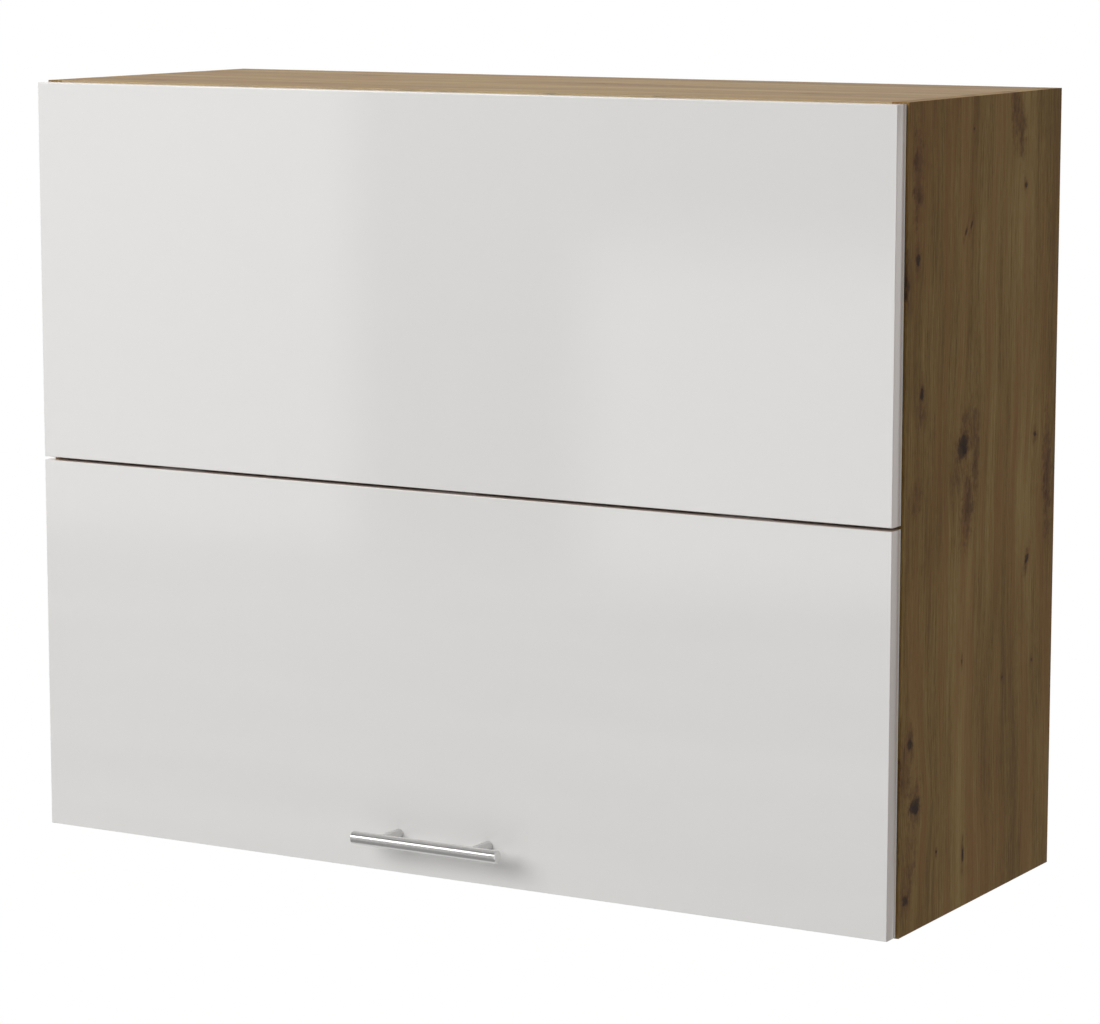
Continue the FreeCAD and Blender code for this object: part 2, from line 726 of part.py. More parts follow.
# Fold hinges
def fold_leaf(centre, up):
    half = FOLD_LEAF_LONG / 2
    middle = FOLD_MIDDLE_LONG / 2
    edge = SPLIT_Z + up * FRONT_SPLIT / 2
    far = edge + up * FOLD_LEAF_TALL
    leaf_y = FRONT_BACK_Y + FOLD_LEAF_THICK
    leaf = box(centre - half, centre + half, FRONT_BACK_Y, leaf_y, edge, far)
    relief_to = SPLIT_Z + up * FOLD_RELIEF
    outer_spans = ((-half, -middle - FOLD_END_PLAY), (middle + FOLD_END_PLAY, half))
    inner_span = ((-middle, middle),)
    own, other = (outer_spans, inner_span) if up > 0 else (inner_span, outer_spans)
    knuckles = [
        cylinder((centre + a, FOLD_Y, SPLIT_Z), (1, 0, 0), FOLD_KNUCKLE_R, b - a) for a, b in own
    ]
    play = FOLD_END_PLAY
    reliefs = [
        box(centre + a - play, centre + b + play, FRONT_BACK_Y, leaf_y, edge, relief_to) for a, b in other
    ]
    bore = cylinder((centre - half, FOLD_Y, SPLIT_Z), (1, 0, 0), FOLD_PIN_R + FIT, FOLD_LEAF_LONG)
    shape = leaf.cut(reliefs).fuse(knuckles).removeSplitter()
    return shape.cut([bore] + small_holes(fold_screw_places(centre, up), (0, -1, 0)))


def fold_pin(centre):
    half = FOLD_LEAF_LONG / 2
    return cylinder((centre - half, FOLD_Y, SPLIT_Z), (1, 0, 0), FOLD_PIN_R, FOLD_LEAF_LONG)


# Lift units
def lift_unit(side):
    front, rear, low, high = unit_span()
    tray = side_box(side, UNIT_FACE_X, INNER_X, front, rear, low, high)
    hollow = side_box(
        side, UNIT_FACE_X, INNER_X - UNIT_WALL,
        front + UNIT_WALL, rear - UNIT_WALL, low + UNIT_WALL, high - UNIT_WALL,
    )
    boss_end = ARM_OUTER_X + ARM_GAP
    boss = cylinder(
        (side * (INNER_X - UNIT_WALL), PIVOT_Y, PIVOT_Z), (-side, 0, 0), BOSS_R,
        INNER_X - UNIT_WALL - boss_end,
    )
    bore = cylinder(
        (side * (INNER_X - UNIT_WALL), PIVOT_Y, PIVOT_Z), (-side, 0, 0), PIVOT_R + FIT, UNIT_DEEP + 9.0
    )
    unit = tray.cut(hollow).fuse(boss).removeSplitter()
    return unit.cut([bore] + wood_holes(unit_screw_places(side), (side, 0, 0)))


def lift_pivot(side):
    start = (side * (INNER_X - UNIT_WALL), PIVOT_Y, PIVOT_Z)
    length = INNER_X - UNIT_WALL - ARM_INNER_X + ARM_GAP
    profile = [
        (0, 0),
        (PIVOT_R, 0),
        (PIVOT_R, length),
        (PIVOT_HEAD_R, length),
        (PIVOT_HEAD_R, length + PIVOT_HEAD_THICK - 0.5),
        (PIVOT_HEAD_R - 0.5, length + PIVOT_HEAD_THICK),
        (0, length + PIVOT_HEAD_THICK),
    ]
    return turned(profile, start, (-side, 0, 0))


def lift_cover(side):
    front, rear, low, high = unit_span()
    plate = side_box(
        side, UNIT_FACE_X - COVER_THICK, UNIT_FACE_X, PIVOT_Y + COVER_FROM_PIVOT, rear, low, high
    )
    upright = [e for e in plate.Edges if is_cover_corner(e, side)]
    return plate.makeFillet(COVER_THICK / 2, upright)


def is_cover_corner(edge, side):
    box_ = edge.BoundBox
    face = min(abs(box_.XMin), abs(box_.XMax))
    return abs(box_.XLength) < 0.01 and abs(face - (UNIT_FACE_X - COVER_THICK)) < 0.01


def spring_pack(side):
    y0 = PIVOT_Y + COVER_FROM_PIVOT
    x = INNER_X - UNIT_WALL - SPRING_R - 2.0
    z = PIVOT_Z - SPRING_DROP
    rib = (SPRING_LONG - 2 * SPRING_BLOCK) / (2 * SPRING_RIBS)
    profile = [(0, 0), (SPRING_R, 0)]
    for step in range(SPRING_RIBS):
        start = SPRING_BLOCK + step * 2 * rib
        profile += [(SPRING_R, start), (SPRING_R - 1.2, start + rib / 2)]
        profile += [(SPRING_R - 1.2, start + 1.5 * rib)]
        profile += [(SPRING_R, start + 2 * rib)]
    profile += [(SPRING_R, SPRING_LONG), (0, SPRING_LONG)]
    core = turned(profile, (side * x, y0, z), (0, 1, 0))
    blocks = [
        side_box(side, x - SPRING_R, INNER_X - UNIT_WALL, y, y + SPRING_BLOCK, z - SPRING_R, z + SPRING_R)
        for y in (y0, y0 + SPRING_LONG - SPRING_BLOCK)
    ]
    return core.fuse(blocks).removeSplitter()


# Lift arms: built hanging straight down from the pivot, then leaned to the roller
def arm_length():
    return math.hypot(ROLLER_Y - PIVOT_Y, ROLLER_Z - PIVOT_Z)


def lean(shape):
    angle = math.degrees(math.atan2(PIVOT_Y - ROLLER_Y, PIVOT_Z - ROLLER_Z))
    shape.rotate(FreeCAD.Vector(0, PIVOT_Y, PIVOT_Z), FreeCAD.Vector(-1, 0, 0), angle)
    return shape


def clamp_places(side):
    return [(side * ARM_INNER_X, PIVOT_Y, PIVOT_Z - down) for down in CLAMP_AT]


def lift_arm(side):
    half = ARM_WIDE / 2
    end = PIVOT_Z - ARM_TUBE_LONG
    bar = side_box(side, ARM_INNER_X, ARM_OUTER_X, PIVOT_Y - half, PIVOT_Y + half, end, PIVOT_Z)
    eye = cylinder((side * ARM_INNER_X, PIVOT_Y, PIVOT_Z), (side, 0, 0), half + 2.0, ARM_THICK)
    bore = cylinder((side * ARM_INNER_X, PIVOT_Y, PIVOT_Z), (side, 0, 0), PIVOT_R + FIT, ARM_THICK)
    rod_half = ROD_WIDE / 2 + FIT
    thick_half = ROD_THICK / 2 + FIT
    cavity = side_box(
        side, ARM_MID_X - thick_half, ARM_MID_X + thick_half,
        PIVOT_Y - rod_half, PIVOT_Y + rod_half, end, PIVOT_Z - ARM_CAVITY_FROM,
    )
    holes = [
        screw_hole(p, (side, 0, 0), SMALL_R, SMALL_HEAD_R, ARM_THICK - 1.0) for p in clamp_places(side)
    ]
    return lean(bar.fuse(eye).removeSplitter().cut([bore, cavity] + holes))


def arm_rod(side):
    half = ROD_WIDE / 2
    thick = ROD_THICK / 2
    end = PIVOT_Z - arm_length()
    bar = side_box(
        side, ARM_MID_X - thick, ARM_MID_X + thick, PIVOT_Y - half, PIVOT_Y + half, end, PIVOT_Z - ROD_FROM
    )
    start = side * (ARM_MID_X - thick)
    eye = cylinder((start, PIVOT_Y, end), (side, 0, 0), ROD_EYE_R, ROD_THICK)
    bore = cylinder((start, PIVOT_Y, end), (side, 0, 0), ROLLER_R + FIT, ROD_THICK)
    slot_half = SMALL_HEAD_R - 0.2
    slot = side_box(
        side, ARM_MID_X - thick, ARM_MID_X + thick, PIVOT_Y - slot_half, PIVOT_Y + slot_half,
        PIVOT_Z - ROD_SLOT_TO, PIVOT_Z - ROD_SLOT_FROM,
    )
    return lean(bar.fuse(eye).removeSplitter().cut([bore, slot]))


def arm_roller(side):
    start_x = ARM_MID_X - ROD_THICK / 2 - ROLLER_RING_THICK
    to_rod = ROLLER_RING_THICK
    through = to_rod + ROD_THICK
    to_web = WEB_X - ARM_GAP - start_x
    past_web = WEB_X + BRACKET_WEB_THICK + ARM_GAP - start_x
    end = past_web + ROLLER_RING_THICK
    profile = [
        (0, 0),
        (ROLLER_RING_R - 0.5, 0),
        (ROLLER_RING_R, 0.5),
        (ROLLER_RING_R, to_rod),
        (ROLLER_R, to_rod),
        (ROLLER_R, through),
        (ROLLER_SHOULDER_R, through),
        (ROLLER_SHOULDER_R, to_web),
        (ROLLER_R, to_web),
        (ROLLER_R, past_web),
        (ROLLER_RING_R, past_web),
        (ROLLER_RING_R, end),
        (0, end),
    ]
    return turned(profile, (side * start_x, ROLLER_Y, ROLLER_Z), (side, 0, 0))


def clamp_screws(side):
    direction = (side, 0, 0)
    group = [screw(p, direction, SMALL_R, SMALL_HEAD_R, ARM_THICK - 1.0) for p in clamp_places(side)]
    return [lean(piece) for piece in group]


# Slotted brackets
def arm_bracket(side):
    inner, outer = bracket_base()
    half = BRACKET_BASE_TALL / 2
    base_y = FRONT_BACK_Y + BRACKET_BASE_THICK
    base = side_box(side, inner, outer, FRONT_BACK_Y, base_y, ROLLER_Z - half, ROLLER_Z + half)
    y0, y1, z0, z1 = slot_span()
    rim = BRACKET_WEB_RIM
    web = side_box(side, WEB_X, WEB_X + BRACKET_WEB_THICK, FRONT_BACK_Y, y1 + rim, z0 - rim, z1 + rim)
    ends = [e for e in web.Edges if is_web_corner(e, y1 + rim)]
    web = web.makeFillet(rim, ends)
    radius = (y1 - y0) / 2
    middle = (y0 + y1) / 2
    slot = side_box(side, WEB_X, WEB_X + BRACKET_WEB_THICK, y0, y1, z0 + radius, z1 - radius)
    rounds = [
        cylinder((side * WEB_X, middle, z), (side, 0, 0), radius, BRACKET_WEB_THICK)
        for z in (z0 + radius, z1 - radius)
    ]
    bracket = base.fuse(web).removeSplitter().cut([slot] + rounds)
    return bracket.cut(small_holes(bracket_screw_places(side), (0, -1, 0)))


def is_web_corner(edge, rear):
    span = edge.BoundBox
    flat = abs(span.YLength) < 0.01 and abs(span.ZLength) < 0.01
    return flat and abs(span.YMin - rear) < 0.01


# Handle
def handle_bar():
    start = (-HANDLE_LENGTH / 2, HANDLE_Y, HANDLE_Z)
    profile = [
        (0, 0),
        (HANDLE_R - HANDLE_CHAMFER, 0),
        (HANDLE_R, HANDLE_CHAMFER),
        (HANDLE_R, HANDLE_LENGTH - HANDLE_CHAMFER),
        (HANDLE_R - HANDLE_CHAMFER, HANDLE_LENGTH),
        (0, HANDLE_LENGTH),
    ]
    bar = turned(profile, start, (1, 0, 0))
    end = HANDLE_Y + HANDLE_R - POST_IN_BAR
    sockets = [
        cylinder((side * HANDLE_CENTRES / 2, end, HANDLE_Z), (0, 1, 0), POST_R + FIT, HANDLE_R)
        for side in SIDES.values()
    ]
    return bar.cut(sockets)


def handle_post(side):
    end = HANDLE_Y + HANDLE_R - POST_IN_BAR
    x = side * HANDLE_CENTRES / 2
    post = cylinder((x, end, HANDLE_Z), (0, 1, 0), POST_R, FRONT_FACE_Y - end)
    thread = cylinder(
        (x, FRONT_FACE_Y, HANDLE_Z), (0, -1, 0), POST_THREAD_R + FIT, HANDLE_SCREW_DEEP + 1.0
    )
    return post.cut(thread)


def handle_screw(side):
    head = 2.4
    length = head + FRONT_THICK + HANDLE_SCREW_DEEP
    start = (side * HANDLE_CENTRES / 2, FRONT_BACK_Y + head, HANDLE_Z)
    profile = [
        (0, 0),
        (POST_R - 0.8, 0),
        (POST_R, 0.8),
        (POST_R, head),
        (POST_THREAD_R, head),
        (POST_THREAD_R, length - 0.5),
        (POST_THREAD_R - 0.5, length),
        (0, length),
    ]
    body = turned(profile, start, (0, -1, 0))
    return body.cut(drive_cross(start, (0, -1, 0), POST_R))


def bumper(side):
    start = (side * (FRONT_HALF - BUMPER_IN), FRONT_BACK_Y, FRONT_BOTTOM_MARGIN + BUMPER_IN)
    profile = [
        (0, 0), (BUMPER_R, 0), (BUMPER_R, BUMPER_THICK - 0.6), (BUMPER_R - 0.6, BUMPER_THICK), (0, BUMPER_THICK),
    ]
    return turned(profile, start, (0, 1, 0))


# Every node of the cabinet
def all_nodes():
    cams, bolts, dowels = corner_fittings()
    both = list(SIDES.values())
    nodes = {
        "top_panel": [top_panel()],
        "bottom_panel": [bottom_panel()],
        "back_panel": [back_panel()],
        "shelf": [shelf()],
        "edging_top": [edging_strip(-INNER_X, INNER_X, -DEPTH, TOP_UNDER, HEIGHT)],
        "edging_bottom": [edging_strip(-INNER_X, INNER_X, -DEPTH, 0, BOARD)],
        "edging_shelf": [edging_strip(-SHELF_HALF, SHELF_HALF, SHELF_FRONT_Y, SHELF_Z, SHELF_Z + BOARD)],
        "shelf_pegs": [shelf_peg(side, y) for side in both for y in peg_depths()],
        "cams": cams,
        "cam_bolts": bolts,
        "dowels": dowels,
        "fitting_screws": [s for side in both for s in fitting_screws(side)],
        "lift_pivots": [lift_pivot(side) for side in both],
        "spring_packs": [spring_pack(side) for side in both],
        "upper_front": [upper_front()],
        "upper_front_edging": [front_edging(UPPER_LOW_Z)],
        "hinge_pins": [hinge_pin(side) for side in both],
        "upper_front_screws": small_screws(upper_front_screw_places(), (0, -1, 0)),
        "lower_front": [lower_front()],
        "lower_front_edging": [front_edging(FRONT_BOTTOM_MARGIN)],
        "fold_pins": [fold_pin(x) for x in FOLD_XS],
        "lower_front_screws": small_screws(lower_front_screw_places(), (0, -1, 0)),
        "handle_bar": [handle_bar()],
        "handle_posts": [handle_post(side) for side in both],
        "handle_screws": [handle_screw(side) for side in both],
        "bumpers": [bumper(side) for side in both],
    }
    for name, side in SIDES.items():
        nodes["side_panel_" + name] = [side_panel(side)]
        nodes["edging_" + name] = [
            edging_strip(min(side * INNER_X, side * HALF), max(side * INNER_X, side * HALF), -DEPTH, 0, HEIGHT)
        ]
        nodes["hanger_" + name] = [hanger(side)]
        nodes["hanger_hook_" + name] = [hanger_hook(side)]
        nodes["wall_plate_" + name] = [wall_plate(side)]
        nodes["hinge_arm_" + name] = [hinge_arm(side)]
        nodes["hinge_cup_" + name] = [hinge_cup(side)]
        nodes["lift_unit_" + name] = [lift_unit(side)]
        nodes["lift_cover_" + name] = [lift_cover(side)]
        nodes["lift_arm_" + name] = [lift_arm(side)]
        nodes["arm_rod_" + name] = [arm_rod(side)]
        nodes["arm_roller_" + name] = [arm_roller(side)]
        nodes["clamp_screws_" + name] = clamp_screws(side)
        nodes["arm_bracket_" + name] = [arm_bracket(side)]
    for name, x in zip(("left", "middle", "right"), FOLD_XS):
        nodes["fold_leaf_upper_" + name] = [fold_leaf(x, 1)]
        nodes["fold_leaf_lower_" + name] = [fold_leaf(x, -1)]
    return nodes


os.makedirs("parts", exist_ok=True)
for node, solids in all_nodes().items():
    shape = solids[0] if len(solids) == 1 else Part.makeCompound(solids)
    shape.exportStep("parts/" + node + ".step")
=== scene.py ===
"""Looks of a kitchen wall cabinet with a folding lift-up front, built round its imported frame."""

from __future__ import annotations

import functools
import json
import logging
import math
from dataclasses import dataclass
from enum import Enum

import bmesh
import bpy
from mathutils import Matrix, Vector

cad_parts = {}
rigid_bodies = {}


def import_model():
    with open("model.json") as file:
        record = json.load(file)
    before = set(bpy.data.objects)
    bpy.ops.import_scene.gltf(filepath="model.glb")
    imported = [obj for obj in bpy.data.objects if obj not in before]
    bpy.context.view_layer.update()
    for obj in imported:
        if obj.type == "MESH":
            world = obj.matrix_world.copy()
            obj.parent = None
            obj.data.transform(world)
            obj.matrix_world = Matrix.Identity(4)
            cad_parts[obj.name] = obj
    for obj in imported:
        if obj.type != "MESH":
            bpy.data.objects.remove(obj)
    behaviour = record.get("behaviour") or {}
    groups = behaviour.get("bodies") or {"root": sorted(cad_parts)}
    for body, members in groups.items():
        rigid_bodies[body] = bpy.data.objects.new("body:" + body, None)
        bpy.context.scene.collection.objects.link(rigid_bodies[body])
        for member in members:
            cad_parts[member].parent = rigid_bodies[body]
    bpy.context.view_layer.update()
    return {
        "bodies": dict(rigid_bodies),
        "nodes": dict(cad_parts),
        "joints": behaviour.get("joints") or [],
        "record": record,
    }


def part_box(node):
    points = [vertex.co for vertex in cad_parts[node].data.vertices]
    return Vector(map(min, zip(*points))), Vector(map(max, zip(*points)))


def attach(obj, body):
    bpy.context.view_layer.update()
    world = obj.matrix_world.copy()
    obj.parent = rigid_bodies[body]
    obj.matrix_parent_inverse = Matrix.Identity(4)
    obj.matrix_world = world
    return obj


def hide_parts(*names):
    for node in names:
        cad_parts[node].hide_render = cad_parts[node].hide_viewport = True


LOG = logging.getLogger("wall_cabinet")
SIDES = ("left", "right")
FOLD_PLACES = ("left", "middle", "right")
MM = 0.001
WELD_GAP = 0.02 * MM
BEVEL_STEPS = 2
BEVEL_FROM = math.radians(50.0)

Colour = tuple[float, float, float, float]
Triple = tuple[float, float, float]
Span = tuple[float, float, float, float]
Pair = tuple[float, float]
Socket = bpy.types.NodeSocket


def srgb(red: float, green: float, blue: float) -> Colour:
    """Turn a display colour into a linear one.

    Args:
        red: Red from 0 to 255.
        green: Green from 0 to 255.
        blue: Blue from 0 to 255.

    Returns:
        The linear colour with full alpha.
    """

    def linear(level: float) -> float:
        """Return one channel in linear light."""
        part = level / 255.0
        return part / 12.92 if part <= 0.04045 else ((part + 0.055) / 1.055) ** 2.4

    return (linear(red), linear(green), linear(blue), 1.0)


class GrainRun(Enum):
    """The way the wood grain runs on a board."""

    UPRIGHT = "upright"
    LEVEL = "level"


class BrushRun(Enum):
    """The way a brushed metal's fine lines run."""

    ALONG_X = (0.02, 1.0, 1.0)
    ALONG_Y = (1.0, 0.02, 1.0)


class MixKind(Enum):
    """What a mix node mixes: its data type, the numbers of its three inputs and that of its output."""

    COLOUR = ("RGBA", (0, 6, 7), 2)
    NUMBER = ("FLOAT", (0, 2, 3), 0)


class Sketch:
    """Adds nodes to one shader tree and joins them."""

    def __init__(self, tree: bpy.types.NodeTree) -> None:
        """Keep the tree that the nodes go into."""
        self.tree = tree

    def add(self, kind: str, **settings: object) -> bpy.types.Node:
        """Add a node.

        Args:
            kind: The node's type name.
            settings: Attributes to set on it.

        Returns:
            The new node.
        """
        node = self.tree.nodes.new(kind)
        for name, value in settings.items():
            setattr(node, name, value)
        return node

    def feed(self, socket: Socket, value: object) -> None:
        """Join a socket to another, or set its number or colour.

        Args:
            socket: The input socket.
            value: An output socket, or the number, vector or colour to set.
        """
        if isinstance(value, Socket):
            self.tree.links.new(value, socket)
        else:
            socket.default_value = value

    def fill(self, node: bpy.types.Node, **values: object) -> None:
        """Feed several inputs of a node.

        Args:
            node: The node.
            values: What each input gets, by its name with _ for a space.
        """
        for name, value in values.items():
            self.feed(node.inputs[name.replace("_", " ")], value)

    def line_up(self, node: bpy.types.Node, *values: object) -> None:
        """Feed a node's inputs in their order, from the first one on."""
        for socket, value in zip(node.inputs, values):
            self.feed(socket, value)

    def math(self, operation: str, first: object, second: object = 0.0, clamp: bool = False) -> Socket:
        """Work out a number from two values.

        Args:
            operation: The operation's name.
            first: The first value.
            second: The second value, if the operation takes one.
            clamp: Keep the result between 0 and 1.

        Returns:
            The result.
        """
        node = self.add("ShaderNodeMath", operation=operation, use_clamp=clamp)
        self.line_up(node, first, second)
        return node.outputs[0]

    def product(self, *values: object) -> Socket:
        """Return all the values multiplied, from left to right."""
        return functools.reduce(lambda first, second: self.math("MULTIPLY", first, second), values)

    def total(self, *values: object) -> Socket:
        """Return all the values added, from left to right."""
        return functools.reduce(lambda first, second: self.math("ADD", first, second), values)

    def less(self, first: object, second: object) -> Socket:
        """Return the first value less the second."""
        return self.math("SUBTRACT", first, second)

    def length(self, first: object, second: object) -> Socket:
        """Return the length of the slope over two sides that meet at a right angle."""
        return self.math("SQRT", self.total(self.math("POWER", first, 2.0), self.math("POWER", second, 2.0)))

    def vector(self, operation: str, first: object, second: object) -> Socket:
        """Work out a vector from two vectors.

        Args:
            operation: The operation's name.
            first: The first vector.
            second: The second vector.

        Returns:
            The result.
        """
        node = self.add("ShaderNodeVectorMath", operation=operation)
        self.line_up(node, first, second)
        return node.outputs[0]

    def spread(self, value: object, low: object, high: object, to_low: object = 0.0, to_high: object = 1.0,
               smooth: bool = False) -> Socket:
        """Map a value from one range to another, clamped.

        Args:
            value: The value to map.
            low: Start of the range that is read.
            high: End of the range that is read.
            to_low: Result at the start.
            to_high: Result at the end.
            smooth: Ease in and out between the ends.

        Returns:
            The mapped value.
        """
        node = self.add("ShaderNodeMapRange", interpolation_type="SMOOTHSTEP" if smooth else "LINEAR")
        self.line_up(node, value, low, high, to_low, to_high)
        return node.outputs[0]

    def ease(self, value: object, low: object, high: object) -> Socket:
        """Return a mask that eases from 0 to 1 between two ends."""
        return self.spread(value, low, high, smooth=True)

    def noise(self, place: object, scale: object, detail: float = 2.0, roughness: float = 0.5) -> Socket:
        """Return the level of a noise pattern.

        Args:
            place: The vector that it is read at.
            scale: Features per unit of that vector.
            detail: Number of finer layers.
            roughness: Strength of the finer layers.

        Returns:
            A level that is mostly between 0.3 and 0.7.
        """
        node = self.add("ShaderNodeTexNoise", noise_dimensions="3D")
        self.fill(node, Vector=place, Scale=scale, Detail=detail, Roughness=roughness)
        return node.outputs["Fac"]

    def blend(self, amount: object, first: object, second: object,
              kind: MixKind = MixKind.COLOUR) -> Socket:
        """Mix two colours or two numbers.

        Args:
            amount: Share of the second one.
            first: The first one.
            second: The second one.
            kind: Which of the two are mixed.

        Returns:
            The mix.
        """
        data_type, inputs, output = kind.value
        node = self.add("ShaderNodeMix", data_type=data_type, clamp_factor=True)
        for index, item in zip(inputs, (amount, first, second)):
            self.feed(node.inputs[index], item)
        return node.outputs[output]

    def split(self, place: object) -> tuple[Socket, ...]:
        """Take a vector apart.

        Args:
            place: The vector.

        Returns:
            Its three parts.
        """
        node = self.add("ShaderNodeSeparateXYZ")
        self.line_up(node, place)
        return tuple(node.outputs)

    def join(self, x: object, y: object, z: object) -> Socket:
        """Put a vector together.

        Args:
            x: Its first part.
            y: Its second part.
            z: Its third part.

        Returns:
            The vector.
        """
        node = self.add("ShaderNodeCombineXYZ")
        self.line_up(node, x, y, z)
        return node.outputs[0]

    def group(self, tree: bpy.types.NodeTree, **values: object) -> bpy.types.Node:
        """Place a shared effect.

        Args:
            tree: The effect's node group.
            values: What each of its inputs gets, by name with _ for a space.

        Returns:
            The group's node.
        """
        node = self.add("ShaderNodeGroup", node_tree=tree)
        self.fill(node, **values)
        return node

    def bump(self, height: object, strength: float, distance: float) -> Socket:
        """Turn a height into a surface normal.

        Args:
            height: The pattern that rises and falls.
            strength: How strongly the normal follows it.
            distance: What a height of 1 measures, in metres.

        Returns:
            The normal.
        """
        node = self.add("ShaderNodeBump")
        self.fill(node, Height=height, Strength=strength, Distance=distance)
        return node.outputs["Normal"]


@dataclass(frozen=True)
class Streak:
    """Noise that is stretched along the grain, in features per metre, and its part in the wood's tone."""

    across: float
    along: float
    detail: float
    roughness: float = 0.5
    swing: float = 0.2
    weight: float = 0.0

    def level(self, sketch: Sketch, place: Socket) -> Socket:
        """Return the noise's level at a place on the board, whose third part runs along the grain."""
        stretched = sketch.vector("MULTIPLY", place, (self.across, self.across, self.along))
        return sketch.noise(stretched, 1.0, self.detail, self.roughness)

    def tone(self, sketch: Sketch, level: Socket) -> Socket:
        """Return how much the noise lightens or darkens the wood."""
        return sketch.spread(level, 0.5 - self.swing, 0.5 + self.swing, -self.weight, self.weight)


@dataclass(frozen=True)
class OakPattern:
    """The layers and colours of the oak decor.

    Each span gives two levels of a layer, and what it does at the first and at the second of them.
    """

    sway: Streak = Streak(3.0, 2.2, 2.0)
    sway_reach: float = 0.05
    bands: Streak = Streak(16.0, 0.9, 2.0, 0.5, 0.14, 0.45)
    rings: Streak = Streak(85.0, 2.2, 3.0, 0.55, 0.20, 0.42)
    comb: Streak = Streak(540.0, 13.0, 3.0, 0.62, 0.18, 0.65)
    cloud: Streak = Streak(26.0, 7.0, 3.0, 0.5, 0.18, 0.30)
    dash: Streak = Streak(640.0, 80.0, 2.0, 0.6, 0.16, 0.30)
    pores: Streak = Streak(1300.0, 55.0, 1.0)
    mottle: Streak = Streak(210.0, 75.0, 4.0, 0.65)
    veil: Streak = Streak(38.0, 3.4, 4.0, 0.6)
    full_tone: float = 0.9
    veil_span: Span = (0.44, 0.66, 0.0, 1.0)
    veil_in_cloud: Span = (0.30, 0.60, 0.35, 0.9)
    fleck_span: Span = (0.60, 0.70, 0.0, 0.6)
    fleck_in_veil: Span = (0.42, 0.58, 0.0, 1.0)
    pore_edge: Pair = (0.38, 0.28)
    pore_in_rings: Span = (0.62, 0.38, 0.3, 1.0)
    pore_share: float = 0.35
    stain_share: float = 0.7
    grit_edge: Pair = (0.40, 0.66)
    grit_in_comb: Span = (0.2, 0.6, 0.75, 1.0)
    grit_share: float = 0.8
    core_in_mottle: Span = (0.3, 0.6, 0.72, 1.0)
    roughness: Span = (0.3, 0.7, 0.50, 0.60)
    pore_roughness: float = 0.12
    comb_height: float = 0.3
    pore_depth: float = 0.6
    core_depth: float = 0.4
    fleck_colour: Colour = srgb(134, 92, 60)
    pore_colour: Colour = srgb(104, 78, 52)
    stain_colour: Colour = srgb(122, 86, 53)
    grit_colour: Colour = srgb(84, 58, 38)
    core_colour: Colour = srgb(58, 42, 32)


